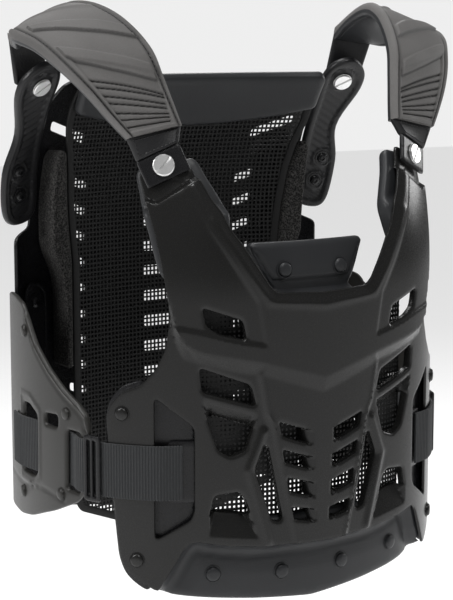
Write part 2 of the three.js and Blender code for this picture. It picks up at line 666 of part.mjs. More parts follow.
function bracket() {
  const corners = onBracket(bracketRows).map(([girth, level]) => new THREE.Vector3(girth, level, 0));
  const curve = new THREE.CatmullRomCurve3(corners, true);
  const outline = curve.getPoints(BRACKET_POINTS).slice(0, -1).map((p) => [p.x, p.y, BRACKET_BACK]);
  return sheetOn(bracketWall, BRACKET_THICKNESS, [{ outline }]);
}

// The side wing wraps from the back shell round to the front. Rows hold shares of WING_LENGTH forward
// from the hidden edge at WING_START and of WING_HEIGHT down from WING_TOP.
const WING_FACE = LAYER_GAP + WING_WALL;
const WING_START = WING_TIP - WING_LENGTH;
const onWing = (rows, proud) => placed(
  rows, { start: WING_START, width: WING_LENGTH, top: WING_TOP, height: WING_HEIGHT, proud });
const WING_CORNER = [0.14, 0.3]; // where the tight bend from the back to the side begins and ends
const wingHiddenEdge = [[0, 0.92], [0, 0.11]];
const wingFrontEdge = [
  [0.4, 0], [0.496, 0.02], [0.55, 0.074], [0.635, 0.18], [0.746, 0.27], [0.852, 0.343], [0.94, 0.392],
  [0.985, 0.43], [1, 0.49], [0.98, 0.73], [0.965, 0.77], [0.92, 0.825], [0.765, 0.9], [0.57, 0.975],
  [0.45, 1],
];
const backWingSlot = [
  [0.49, 0.47], [0.56, 0.465], [0.635, 0.5], [0.632, 0.76], [0.6, 0.785], [0.48, 0.785],
];
const wingVent = [[0.7, 0.475], [0.8, 0.465], [0.8, 0.52], [0.705, 0.525]];
const frontWingSlot = [[0.86, 0.515], [0.945, 0.515], [0.94, 0.78], [0.855, 0.78]];

function sideWing() {
  const holes = [backWingSlot, wingVent, frontWingSlot].map((rows) => onWing(rows, WING_FACE));
  const [from, to] = WING_CORNER;
  const [fromTop, toTop, toFoot, fromFoot] = onWing(
    [[from, 0.06], [to, 0], [to, 1], [from, 0.96]], WING_FACE);
  return sheetOn(back, WING_WALL, [
    { outline: [fromFoot, ...onWing(wingHiddenEdge, WING_FACE), fromTop] },
    { outline: [fromFoot, fromTop, toTop, toFoot] },
    { outline: [toFoot, toTop, ...onWing(wingFrontEdge, WING_FACE)], holes },
  ]);
}

// An upright strip with a round top on the inside of the back shell, which the wing's rim starts from.
function wingStrip() {
  const half = STRIP_WIDTH / 2;
  const top = WING_TOP + STRIP_LEAD - half;
  const crown = Array.from({ length: STRIP_CROWN_STEPS + 1 }, (_, i) => {
    const turn = Math.PI * i / STRIP_CROWN_STEPS;
    return [STRIP_GIRTH + half * Math.cos(turn), top + half * Math.sin(turn)];
  });
  const foot = top + half - STRIP_HEIGHT;
  const outline = [...crown, [STRIP_GIRTH - half, foot], [STRIP_GIRTH + half, foot]];
  const proud = -BACK_WALL - LAYER_GAP;
  return sheetOn(back, STRIP_THICKNESS, [{ outline: outline.map((p) => [...p, proud]) }]);
}

// Joins a row of equal rings of points into a closed solid.
function loft(rings) {
  const count = rings[0].length;
  const positions = rings.flat().flatMap((p) => p.toArray());
  const index = [];
  for (let i = 0; i < rings.length - 1; i += 1) {
    for (let j = 0; j < count; j += 1) {
      const [a, b] = [i * count + j, i * count + ((j + 1) % count)];
      index.push(a, b, b + count, a, b + count, a + count);
    }
  }
  const last = (rings.length - 1) * count;
  for (let j = 1; j < count - 1; j += 1) {
    index.push(0, j + 1, j, last, last + j, last + j + 1);
  }
  return facingOut(indexed(positions, index));
}

// Turns a closed mesh so that its faces point outwards.
function facingOut(geometry) {
  const place = geometry.attributes.position;
  const index = [...geometry.index.array];
  let volume = 0;
  for (let i = 0; i < index.length; i += 3) {
    const [a, b, c] = [0, 1, 2].map((k) => new THREE.Vector3().fromBufferAttribute(place, index[i + k]));
    volume += a.dot(b.cross(c));
  }
  geometry.setIndex(volume < 0 ? flipped(index) : index);
  return geometry;
}

// A flat strap between stations that name its two edges, with rounded sides and a crowned face. A
// station may name the way that its face looks.
function strap(stations, thickness, crown = 0) {
  const section = [
    [0, -0.3], [0, 0.3], [0.06, 1], [0.35, 1 + crown], [0.65, 1 + crown], [0.94, 1], [1, 0.3],
    [1, -0.3], [0.94, -1], [0.06, -1],
  ];
  let last = null;
  return loft(stations.map(({ inner, outer, up }, i) => {
    const across = outer.clone().sub(inner);
    const heading = (up ?? faceOf(stations, i)).clone();
    if (last && heading.dot(last) < 0) heading.negate();
    last = heading;
    return section.map(([share, height]) => inner.clone()
      .addScaledVector(across, share)
      .addScaledVector(heading, height * thickness / 2));
  }));
}

// The way that the face of a strap looks at a station.
function faceOf(stations, i) {
  const before = stations[Math.max(0, i - 1)];
  const after = stations[Math.min(stations.length - 1, i + 1)];
  const along = after.inner.clone().add(after.outer).sub(before.inner).sub(before.outer);
  return stations[i].outer.clone().sub(stations[i].inner).cross(along).normalize();
}

// The shoulder path runs from the top of the chest arm to the top of the shoulder bracket. Each row
// gives both edges of the pad: the share along the straight line between those ends, and how far out
// and up from it as shares of PAD_WIDTH and PAD_RISE.
const padRows = [
  { inner: [-0.02, -0.29, 0.06], outer: [0.02, 0.26, -0.13] },
  { inner: [0.01, -0.275, 0.21], outer: [0.07, 0.385, 0.05] },
  { inner: [0.07, -0.235, 0.53], outer: [0.145, 0.535, 0.29] },
  { inner: [0.13, -0.2, 0.81], outer: [0.26, 0.66, 0.47] },
  { inner: [0.3, -0.165, 0.96], outer: [0.385, 0.75, 0.57] },
  { inner: [0.5, -0.14, 0.92], outer: [0.53, 0.75, 0.51] },
  { inner: [0.68, -0.14, 0.74], outer: [0.68, 0.6, 0.35] },
  { inner: [0.88, -0.19, 0.38], outer: [0.85, 0.36, 0.08] },
  { inner: [1.03, -0.255, 0], outer: [0.975, 0.235, -0.015] },
];
// The tab is flat across, so it stands off the round pocket by the height of that curve.
const tabMiddle = POCKET_RAISE + LAYER_GAP * 2 + TAB_THICKNESS / 2;
const onTab = ([across, down]) => {
  const [[girth, level]] = onFront([[across, down]]);
  return front.at(girth, level, tabMiddle);
};
const armTop = onTab([0.67, 0.0275]);
const padFront = armTop.clone().add(new THREE.Vector3(...TAB_LEAD));
const seatPoint = (overlap) => [BRACKET_GIRTH + REAR_SLEEVE_SHIFT, BRACKET_TOP - overlap];
const behindBracket = (overlap) => bracketWall.at(
  ...seatPoint(overlap), BRACKET_BACK + LAYER_GAP + SLEEVE_THICKNESS / 2);
const bracketSeat = behindBracket(BRACKET_OVERLAP / 2);
const padRear = bracketSeat.clone().add(new THREE.Vector3(...REAR_LEAD));

const padPoint = ([along, out, up]) => padFront.clone().lerp(padRear, along)
  .add(new THREE.Vector3(out * PAD_WIDTH, 0, up * PAD_RISE));

const padStations = () => {
  const edge = (name) => new THREE.CatmullRomCurve3(padRows.map((row) => padPoint(row[name])));
  const [inner, outer] = [edge('inner'), edge('outer')];
  return Array.from({ length: PAD_SECTIONS + 1 }, (_, i) => ({
    inner: inner.getPoint(i / PAD_SECTIONS), outer: outer.getPoint(i / PAD_SECTIONS),
  }));
};

// The end of the pad that a sleeve starts from, moved off it by the clearance. The sleeve's end lies
// in the same plane as the pad's.
function sleeveStart(end) {
  const stations = padStations();
  const i = end === 'front' ? 0 : PAD_SECTIONS;
  const up = faceOf(stations, i);
  const { inner, outer } = stations[i];
  const off = outer.clone().sub(inner).cross(up).setLength(FIT);
  const away = stations[i === 0 ? 1 : PAD_SECTIONS - 1].inner.clone().sub(inner);
  if (off.dot(away) > 0) off.negate();
  return { inner: inner.add(off), outer: outer.add(off), up };
}

const tabFoot = { inner: onTab([0.55, 0.043]), outer: onTab([0.74, 0.082]) };
const halfTab = tabFoot.outer.clone().sub(tabFoot.inner).multiplyScalar(0.5);
const around = (middle, half) => ({ inner: middle.clone().sub(half), outer: middle.clone().add(half) });
const sleeveFoot = armTop.clone().lerp(padFront, TAB_SHOWING);
const halfSeat = new THREE.Vector3(SEAT_HALF_WIDTH, -SEAT_HALF_WIDTH * 0.3, 0);
const tabStations = [
  tabFoot,
  around(sleeveFoot.clone().add(new THREE.Vector3(0, 0, -FIT * 2)), halfTab),
];

// The screw stands on the face of the tab, near its lower end.
function frontScrew() {
  const [foot, top] = tabStations;
  const middle = (edge) => top[edge].clone().lerp(foot[edge], SCREW_PLACE.down);
  const heading = faceOf(tabStations, 0);
  const centre = middle('inner').lerp(middle('outer'), SCREW_PLACE.across);
  centre.addScaledVector(heading, TAB_THICKNESS / 2 + FIT);
  return head(centre, heading, SCREW_RADIUS, SCREW_HEIGHT, SCREW_SIDES);
}

// Keeps only the places of a mesh, joins equal ones and drops the triangles that closed up.
function welded(geometry) {
  geometry.deleteAttribute('normal');
  geometry.deleteAttribute('uv');
  const merged = mergeVertices(geometry, 1e-4);
  const index = [...merged.index.array];
  const kept = index.flatMap((_, i) => {
    const [a, b, c] = index.slice(i, i + 3);
    return i % 3 === 0 && a !== b && b !== c && c !== a ? [a, b, c] : [];
  });
  merged.setIndex(kept);
  return facingOut(merged);
}

// A round head on a face: rivets and screws. heading is the way that it looks.
function head(foot, heading, radius, height, sides) {
  const profile = [
    [0, 0], [radius, 0], [radius, height * HEAD_RIM], [radius * HEAD_TOP, height], [0, height],
  ];
  const points = profile.map(([x, y]) => new THREE.Vector2(x, y));
  const geometry = welded(new THREE.LatheGeometry(points, sides));
  const turn = new THREE.Quaternion().setFromUnitVectors(new THREE.Vector3(0, 1, 0), heading);
  return geometry.applyQuaternion(turn).translate(foot.x, foot.y, foot.z);
}

// direction is 1 on the outer face of a wall and -1 on its hollow inner face, where facets stand proud.
function headOn(wall, [girth, level], proud, direction, radius, height, sides) {
  const clearance = direction > 0 ? FIT : HOLLOW_GAP;
  const heading = wall.normal(girth, level).multiplyScalar(direction);
  return head(wall.at(girth, level, proud + direction * clearance), heading, radius, height, sides);
}
const rivetOn = (wall, point, proud, direction = 1) => headOn(
  wall, point, proud, direction, RIVET_RADIUS, RIVET_HEIGHT, RIVET_SIDES);
const screwOn = (wall, point, proud, direction = 1) => headOn(
  wall, point, proud, direction, SCREW_RADIUS, SCREW_HEIGHT, SCREW_SIDES);

// The plate that the webbing is looped to, behind the opening beside the belly.
function strapAnchor() {
  const half = (WEBBING_WIDTH / 2 + ANCHOR_MARGIN) / FRONT_HEIGHT;
  const middle = (FRONT_TOP - WEBBING_LEVEL) / FRONT_HEIGHT;
  const outline = onFront([
    [0.55, middle + half], [0.71, middle + half], [0.71, middle - half], [0.55, middle - half],
  ], -SHELL_WALL - LAYER_GAP);
  return sheetOn(front, ANCHOR_THICKNESS, [{ outline }]);
}

// The plan of the side webbing, from its loop at the chest shell over the flange, through the front
// slot of the wing, along its inside and out of its back slot.
function webbingPath() {
  const half = WEBBING_THICKNESS / 2;
  const outside = WING_FACE + LAYER_GAP + half;
  const inside = WING_FACE - WING_WALL - LAYER_GAP - half - WEBBING_SLACK;
  const onFlange = LAYER_GAP + half;
  const frontStops = [
    [0.645, -SHELL_WALL - FIT + half], [0.7, -0.2], [0.745, onFlange], [0.8, onFlange], [0.86, onFlange],
    [0.92, onFlange], [0.985, onFlange],
  ];
  const wingStops = [
    [0.975, outside], [0.943, outside], [0.868, inside], [0.78, inside], [0.7, inside], [0.64, inside],
    [0.5, outside], [0.44, outside], [0.39, outside],
  ];
  return [
    ...frontStops.map(([across, proud]) => front.at(across * FRONT_GIRTH, WEBBING_LEVEL, proud)),
    ...wingStops.map(([along, proud]) => back.at(WING_START + along * WING_LENGTH, WEBBING_LEVEL, proud)),
  ].map((p) => new THREE.Vector2(p.x, p.y));
}

function webbing() {
  const path = webbingPath();
  const edge = (way) => path.map((point, i) => {
    const along = path[Math.min(path.length - 1, i + 1)].clone().sub(path[Math.max(0, i - 1)]).normalize();
    const aside = new THREE.Vector2(-along.y, along.x);
    return point.clone().addScaledVector(aside, way * WEBBING_THICKNESS / 2);
  });
  const shape = new THREE.Shape([...edge(1), ...edge(-1).reverse()]);
  const geometry = new THREE.ExtrudeGeometry(shape, { depth: WEBBING_WIDTH, bevelEnabled: false });
  geometry.translate(0, 0, WEBBING_LEVEL - WEBBING_WIDTH / 2);
  return welded(geometry);
}

// The slide on the webbing in the gap between flange and wing: an upright frame outside the webbing.
function strapSlide() {
  const path = webbingPath();
  const [from, to] = [path[6], path[7]];
  const along = to.clone().sub(from).normalize();
  const outwards = new THREE.Vector3(-along.y, along.x, 0).multiplyScalar(-1);
  const middle = from.clone().lerp(to, 0.5);
  const [w, h] = [SLIDE_WIDTH / 2, WEBBING_WIDTH / 2 + SLIDE_BAR + SLIDE_MARGIN];
  const shape = new THREE.Shape([[-w, -h], [w, -h], [w, h], [-w, h]].map((p) => new THREE.Vector2(...p)));
  const [iw, ih] = [w - SLIDE_BAR, h - SLIDE_BAR];
  shape.holes.push(new THREE.Path(
    [[-iw, -ih], [-iw, ih], [iw, ih], [iw, -ih]].map((p) => new THREE.Vector2(...p))));
  const geometry = welded(
    new THREE.ExtrudeGeometry(shape, { depth: SLIDE_THICKNESS, bevelEnabled: false }));
  const flip = outwards.dot(new THREE.Vector3(1, 0, 0)) < 0 ? -1 : 1;
  outwards.multiplyScalar(flip);
  const upright = new THREE.Vector3(0, 0, 1);
  const basis = new THREE.Matrix4().makeBasis(upright.clone().cross(outwards), upright, outwards);
  const foot = new THREE.Vector3(middle.x, middle.y, WEBBING_LEVEL)
    .addScaledVector(outwards, WEBBING_THICKNESS / 2 + FIT);
  return facingOut(geometry.applyMatrix4(basis.setPosition(foot)));
}

addPiece('front_shell', frontShell(), shellPlastic);
addPiece('chest_pad', chestPad(), vinyl);
addPiece('belly_pad', bellyPad(), vinyl);
addPiece('front_mesh_liner', frontMesh(), meshFabric);
addPair('flank_liner', flankLiner(), blackPlastic);
addPair('arm_liner', armLiner(), vinyl);
addPiece('back_shell', backShell(), blackPlastic);
addPiece('back_mesh_panel', meshPanel(), meshFabric);
addPiece('back_collar_pad', collarPad(), vinyl);
addPair('back_foam', backFoam(), blackFoam);
addPair('shoulder_bracket', bracket(), blackPlastic);
addPair('side_wing', sideWing(), wingPlastic);
addPair('wing_strip', wingStrip(), blackPlastic);
addPair('shoulder_pad', strap(padStations(), SHOULDER_PAD_THICKNESS, 0.35), shoulderFoam);
const frontSleeve = [sleeveStart('front'), around(sleeveFoot, halfTab)];
addPair('front_sleeve', strap(frontSleeve, SLEEVE_THICKNESS), vinyl);
const rearSleeve = [
  sleeveStart('rear'),
  {
    ...around(behindBracket(BRACKET_OVERLAP), halfSeat),
    up: bracketWall.normal(...seatPoint(BRACKET_OVERLAP)),
  },
];
addPair('rear_sleeve', strap(rearSleeve, SLEEVE_THICKNESS), vinyl);
addPair('front_tab', strap(tabStations, TAB_THICKNESS), blackPlastic);
addPair('strap_anchor', strapAnchor(), blackPlastic);
addPair('side_webbing', webbing(), webbingNylon);
addPair('strap_slide', strapSlide(), blackPlastic);

addPair('front_screw', frontScrew(), steel);
const [bracketScrew, bracketRivetTop, bracketRivetLow] = onBracket(
  [[0, 0.13], [0.1, 0.66], [0.02, 0.815]]);
addPair('rear_screw', screwOn(bracketWall, bracketScrew, BRACKET_FACE, -1), steel);
addPair('bracket_rivet_top', rivetOn(bracketWall, bracketRivetTop, BRACKET_FACE, -1), blackPlastic);
addPair('bracket_rivet_low', rivetOn(bracketWall, bracketRivetLow, BRACKET_FACE, -1), blackPlastic);

const [flangeTop, flangeLow, chestSide, bellyOuter, bellyInner] = onFront(
  [[0.91, 0.56], [0.846, 0.88], [0.15, 0.2575], [0.5, 0.92], [0.165, 0.93]]);
addPair('flange_rivet_top', rivetOn(front, flangeTop, 0), shellPlastic);
addPair('flange_rivet_low', rivetOn(front, flangeLow, 0), shellPlastic);
addPair('chest_rivet', rivetOn(front, chestSide, -CHEST_PAD_SETBACK), vinyl);
addPair('belly_rivet_outer', rivetOn(front, bellyOuter, -BELLY_PAD_SETBACK), vinyl);
addPair('belly_rivet_inner', rivetOn(front, bellyInner, -BELLY_PAD_SETBACK), vinyl);

const [wingTop, wingLow, wingBack] = onWing([[0.86, 0.446], [0.82, 0.81], [0.52, 0.14]]);
addPair('wing_rivet_top', rivetOn(back, wingTop, WING_FACE), wingPlastic);
addPair('wing_rivet_low', rivetOn(back, wingLow, WING_FACE), wingPlastic);
addPair('wing_rivet_back', rivetOn(back, wingBack, WING_FACE), wingPlastic);
const stripFace = -BACK_WALL - LAYER_GAP - STRIP_THICKNESS;
const stripTop = [STRIP_GIRTH, WING_TOP - STRIP_RIVET_DROP];
addPair('strip_rivet', rivetOn(back, stripTop, stripFace, -1), blackPlastic);

export default part;
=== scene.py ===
# A roost deflector for off-road riding: a hard chest shell and a hard back shell, joined over the
# shoulders by two moulded foam pads and round the waist by side wings and webbing. It hangs in the
# air as it sits on the wearer. Sizes are millimetres until they are placed.
import math

import bpy
import numpy as np
from mathutils import Matrix, Vector
from mathutils.geometry import delaunay_2d_cdt


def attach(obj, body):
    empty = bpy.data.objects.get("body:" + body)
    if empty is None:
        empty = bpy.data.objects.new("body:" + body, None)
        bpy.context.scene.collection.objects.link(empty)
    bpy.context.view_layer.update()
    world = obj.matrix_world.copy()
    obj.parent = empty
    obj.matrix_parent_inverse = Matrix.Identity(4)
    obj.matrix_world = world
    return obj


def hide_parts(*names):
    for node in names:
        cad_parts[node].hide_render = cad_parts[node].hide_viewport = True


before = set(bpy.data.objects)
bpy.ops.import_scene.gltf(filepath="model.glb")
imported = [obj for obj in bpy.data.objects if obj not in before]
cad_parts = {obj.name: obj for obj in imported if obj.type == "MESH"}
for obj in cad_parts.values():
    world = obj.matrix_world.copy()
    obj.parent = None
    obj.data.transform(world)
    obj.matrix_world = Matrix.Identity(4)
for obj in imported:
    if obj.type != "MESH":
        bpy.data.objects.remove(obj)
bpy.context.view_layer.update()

# The studio: a camera a little above the chest and to the wearer's right, a soft light on each side,
# one behind and one over the front, an even light from above, and a pale floor well below the hanging part.
look_at = Vector((0, 0, -0.264))
azimuth, elevation, distance = math.radians(-31.3), math.radians(8.8), 1.6772
back_off = Vector((
    math.sin(azimuth) * math.cos(elevation), -math.cos(azimuth) * math.cos(elevation), math.sin(elevation)))
camera = bpy.data.objects.new("camera", bpy.data.cameras.new("camera"))
bpy.context.scene.collection.objects.link(camera)
camera.location = look_at + back_off * distance
camera.rotation_euler = (-back_off).to_track_quat("-Z", "Y").to_euler()
camera.data.lens = 106.8
camera.data.clip_end = 40
bpy.context.scene.camera = camera


def soft_light(name, azimuth, elevation, distance, size, power):
    """A square soft box that looks at the middle of the part."""
    a, e = math.radians(azimuth), math.radians(elevation)
    off = Vector((math.sin(a) * math.cos(e), -math.cos(a) * math.cos(e), math.sin(e)))
    light = bpy.data.lights.new(name, "AREA")
    light.energy = power
    light.size = size
    lamp = bpy.data.objects.new(name, light)
    lamp.location = look_at + off * distance
    lamp.rotation_euler = (-off).to_track_quat("-Z", "Y").to_euler()
    bpy.context.scene.collection.objects.link(lamp)


soft_light("key_light", -92, 30, 2.4, 0.9, 26)
soft_light("fill_light", 88, 18, 2.6, 0.9, 18)
soft_light("rim_light", 150, 35, 2.6, 0.9, 16)
soft_light("front_light", -12, 58, 2.2, 0.6, 15)
overhead = bpy.data.lights.new("overhead", "SUN")
overhead.energy = 1.7
overhead.angle = 0.6
overhead_lamp = bpy.data.objects.new("overhead", overhead)
overhead_lamp.rotation_euler = (math.radians(-12), math.radians(-8), 0)
bpy.context.scene.collection.objects.link(overhead_lamp)

# The pale backdrop is brighter than the light it gives, so that dark plastic stays dark.
world = bpy.data.worlds.new("studio")
world.use_nodes = True
sky = world.node_tree.nodes
sky["Background"].inputs["Color"].default_value = (0.17, 0.17, 0.17, 1)
backdrop = sky.new("ShaderNodeBackground")
backdrop.inputs["Color"].default_value = (0.86, 0.86, 0.86, 1)
seen = sky.new("ShaderNodeLightPath")
either = sky.new("ShaderNodeMixShader")
for source, target in (
        (seen.outputs["Is Camera Ray"], either.inputs[0]), (sky["Background"].outputs[0], either.inputs[1]),
        (backdrop.outputs[0], either.inputs[2]), (either.outputs[0], sky["World Output"].inputs["Surface"])):
    world.node_tree.links.new(source, target)
bpy.context.scene.world = world
bpy.context.scene.view_settings.view_transform = "Standard"

FLOOR_HALF, FLOOR_LEVEL = 9, -0.9
floor_mesh = bpy.data.meshes.new("floor")
floor_mesh.from_pydata([
    (x * FLOOR_HALF, y * FLOOR_HALF, FLOOR_LEVEL) for x, y in ((-1, -1), (1, -1), (1, 1), (-1, 1))
], [], [(0, 1, 2, 3)])
floor = bpy.data.objects.new("floor", floor_mesh)
bpy.context.scene.collection.objects.link(floor)
paper = bpy.data.materials.new("floor_paper")
paper.use_nodes = True
paper_surface = paper.node_tree.nodes["Principled BSDF"].inputs
paper_surface["Base Color"].default_value = (0.9, 0.9, 0.9, 1)
paper_surface["Roughness"].default_value = 0.9
paper_surface["Emission Color"].default_value = (1, 1, 1, 1)
paper_surface["Emission Strength"].default_value = 0.12
floor_mesh.materials.append(paper)

# The chest shell: one injection-moulded sheet of satin dark plastic. The chest stands proud of the
# belly over a chevron step, and every vent has a lip that turns inwards.
MM = 0.001


class BodyWall:
    """A wall round the body. Its plan is a chain of arcs, and above a level it bends to the wearer."""

    def __init__(self, side, arcs, depth, bend_level, bend_radius):
        self.side, self.depth, self.bend_level, self.bend_radius = side, depth, bend_level, bend_radius
        rows = []
        girth = x = setback = angle = 0.0
        for radius, turn in arcs:
            rows.append((girth, x, setback, angle, radius))
            x += radius * (math.sin(angle + turn) - math.sin(angle))
            setback += radius * (math.cos(angle) - math.cos(angle + turn))
            girth += radius * turn
            angle += turn
        self.arcs = np.array(rows)

    def place(self, points, proud):
        """Puts points of girth and level, standing so far proud, in space, in metres."""
        points = np.asarray(points, float).reshape(-1, 2)
        girth, level = points.T
        way = np.where(girth < 0, -1.0, 1.0)
        at = np.searchsorted(self.arcs[:, 0], np.abs(girth), side="right") - 1
        start, x, setback, angle, radius = self.arcs[at].T
        end = angle + (np.abs(girth) - start) / radius
        x = way * (x + radius * (np.sin(end) - np.sin(angle)))
        setback = setback + radius * (np.cos(angle) - np.cos(end))
        rise = np.maximum(0, level - self.bend_level)
        run = np.sqrt(self.bend_radius ** 2 - rise ** 2)
        normal = np.stack([way * np.sin(end), self.side * np.cos(end), np.cos(end) * rise / run], 1)
        normal /= np.linalg.norm(normal, axis=1)[:, None]
        spot = np.stack([x, self.side * (self.depth - self.bend_radius + run - setback), level], 1)
        return (spot + normal * np.broadcast_to(proud, girth.shape)[:, None]) * MM

    def normal(self, point):
        """The way that the wall's outer face looks at one point."""
        foot, tip = self.place([point], 0)[0], self.place([point], 1)[0]
        return Vector(tip - foot).normalized()


CHEST_ARC, CHEST_HALF = 340, 95
front_wall = BodyWall(
    side=-1, arcs=[(CHEST_ARC, math.asin(CHEST_HALF / CHEST_ARC)), (140, math.pi / 2)],
    depth=160, bend_level=-242, bend_radius=283)


def inside(points, loop):
    """Which points lie inside a closed outline."""
    x, y = points.T
    found = np.zeros(len(points), bool)
    for (ax, ay), (bx, by) in zip(loop, np.roll(loop, -1, axis=0)):
        if ay != by:
            found ^= ((ay > y) != (by > y)) & (x < (bx - ax) * (y - ay) / (by - ay) + ax)
    return found


def reach(points, line, closed=False):
    """How far each point is from a line of straight stretches."""
    line = np.asarray(line, float)
    ends = np.roll(line, -1, axis=0) if closed else line[1:]
    found = np.full(len(points), 1e6)
    for a, b in zip(line, ends):
        along = b - a
        share = np.clip((points - a) @ along / max(along @ along, 1e-9), 0, 1)
        found = np.minimum(found, np.linalg.norm(points - a - share[:, None] * along, axis=1))
    return found


def rounded(loop, radius, steps=4):
    """A closed outline with every corner turned on a curve."""
    loop = np.asarray(loop, float)
    found = []
    for before, here, after in zip(np.roll(loop, 1, axis=0), loop, np.roll(loop, -1, axis=0)):
        a, b = before - here, after - here
        cut = min(radius, np.linalg.norm(a) * 0.45, np.linalg.norm(b) * 0.45)
        a, b = here + a / np.linalg.norm(a) * cut, here + b / np.linalg.norm(b) * cut
        for t in np.linspace(0, 1, steps + 1):
            found.append((1 - t) ** 2 * a + 2 * t * (1 - t) * here + t ** 2 * b)
    return np.array(found)


def stepped(line, spacing, closed=False):
    """A line with points no further apart than the spacing."""
    line = np.asarray(line, float)
    ends = np.roll(line, -1, axis=0) if closed else line[1:]
    found = []
    for a, b in zip(line, ends):
        count = max(1, math.ceil(np.linalg.norm(b - a) / spacing))
        found += [a + (b - a) * i / count for i in range(count)]
    if not closed:
        found.append(line[-1])
    return np.array(found)


def mirrored(loop):
    return np.asarray(loop, float)[::-1] * (-1, 1)


def folded(points):
    """Points of both halves, laid on the right half."""
    return np.abs(points) * (1, -1)


def bell(distance, width):
    """Falls from 1 at the middle to nothing, over about a width each way."""
    return np.exp(-(distance / width) ** 2)


def slope(distance, width):
    """Rises evenly from 0 to 1 over a width."""
    return np.clip(distance / width, 0, 1)


def new_piece(name, points, faces, material, sharp=35):
    """A closed mesh with its faces outwards, smooth but for its sharp edges."""
    points = np.asarray(points, float)
    mesh = bpy.data.meshes.new(name)
    mesh.from_pydata(points.tolist(), [], [tuple(map(int, f)) for f in faces])
    mesh.materials.append(material)
    mesh.calc_loop_triangles()
    thirds = np.zeros(len(mesh.loop_triangles) * 3, np.int32)
    mesh.loop_triangles.foreach_get("vertices", thirds)
    a, b, c = points[thirds.reshape(-1, 3)].transpose(1, 0, 2)
    if np.einsum("ij,ij->i", a, np.cross(b, c)).sum() < 0:
        mesh.flip_normals()
    mesh.shade_smooth()
    mesh.set_sharp_from_angle(angle=math.radians(sharp))
    piece = bpy.data.objects.new(name, mesh)
    bpy.context.scene.collection.objects.link(piece)
    return piece


ROW_RISE, GRID_CLEAR, RING_CLEAR = 0.87, 0.45, 0.93


def wall_sheet(
        name, wall, outline, holes, outer, inner, spacing, material, lines=(), rims=(0.5, 1.4), sharp=35):
    """A sheet on a wall. outer and inner give how proud both faces stand, from points and edge room.
    Its triangles stand on rings beside each edge, the rims, and on a grid of points further in."""
    outline = np.asarray(outline, float)
    loops = [outline, *[np.asarray(h, float) for h in holes]]

    def room(points):
        return np.min([reach(points, loop, True) for loop in loops], axis=0)

    def on_sheet(points):
        found = inside(points, loops[0])
        for hole in loops[1:]:
            found &= ~inside(points, hole)
        return found

    low, high = outline.min(0), outline.max(0)
    rows = np.arange(low[1], high[1], spacing * ROW_RISE)
    columns = np.arange(low[0], high[0], spacing)
    grid = np.array([(x + (i % 2) * spacing / 2, y) for i, y in enumerate(rows) for x in columns])
    grid = grid[on_sheet(grid)]
    grid = grid[room(grid) > rims[-1] + spacing * GRID_CLEAR]
    for line in lines:
        grid = grid[reach(grid, line) > spacing * GRID_CLEAR]
    chains = [(stepped(loop, spacing, True), True) for loop in loops]
    chains += [(stepped(line, spacing), False) for line in lines]
    points, edges = [], []
    for chain, closed in chains:
        start = len(points)
        points += chain.tolist()
        edges += [(start + i, start + i + 1) for i in range(len(chain) - 1)]
        if closed:
            edges.append((start + len(chain) - 1, start))
    for (chain, closed), loop in zip(chains, loops):
        heading = np.roll(chain, -1, axis=0) - np.roll(chain, 1, axis=0)
        square = np.stack([heading[:, 1], -heading[:, 0]], 1)
        square /= np.linalg.norm(square, axis=1)[:, None] + 1e-9
        for rim in rims:
            for way in (-rim, rim):
                ring = chain + square * way
                ring = ring[on_sheet(ring)]
                if len(ring):
                    points += ring[room(ring) > rim * RING_CLEAR].tolist()
    points += grid.tolist()
    flat, _, faces, *_ = delaunay_2d_cdt([Vector(p) for p in points], edges, [], 0, 1e-3)
    flat = np.array([tuple(v) for v in flat])
    faces = np.array([f for f in faces if len(f) == 3])
    faces = faces[on_sheet(flat[faces].mean(1))]
    used, faces = np.unique(faces, return_inverse=True)
    flat, faces = flat[used], faces.reshape(-1, 3)
    edge_room = room(flat)
    count = len(flat)
    top = wall.place(flat, outer(flat, edge_room))
    bottom = wall.place(flat, inner(flat, edge_room))
    directed = np.concatenate([faces[:, [0, 1]], faces[:, [1, 2]], faces[:, [2, 0]]])
    known = set(map(tuple, directed.tolist()))
    border = [(a, b) for a, b in known if (b, a) not in known]
    solid = [*faces.tolist(), *(faces[:, ::-1] + count).tolist()]
    solid += [(b, a, a + count, b + count) for a, b in sorted(border)]
    return new_piece(name, np.concatenate([top, bottom]), solid, material, sharp)


def edge_roll(room, radius, drop):
    """How far a face falls off towards its edge, as on a rounded lip."""
    share = np.clip(1 - room / radius, 0, 1)
    return drop * (1 - np.sqrt(np.maximum(0, 1 - share ** 2)))


def plain_face(level, radius, drop):
    """A face at one level with a rounded edge, which turns outwards if the drop is negative."""
    return lambda points, room: level - edge_roll(room, radius, drop)


def ridge(points, line, height, width, closed=False):
    """A rounded ridge along a line, or a groove if its height is negative."""
    return height * bell(reach(points, line, closed), width)


def sheet_map(width, top, height, start=0):
    """Turns rows of shares across and down a sheet into girth and level."""
    def placed(rows):
        rows = np.asarray(rows, float)
        return np.stack([start + rows[:, 0] * width, top - rows[:, 1] * height], 1)

    return placed


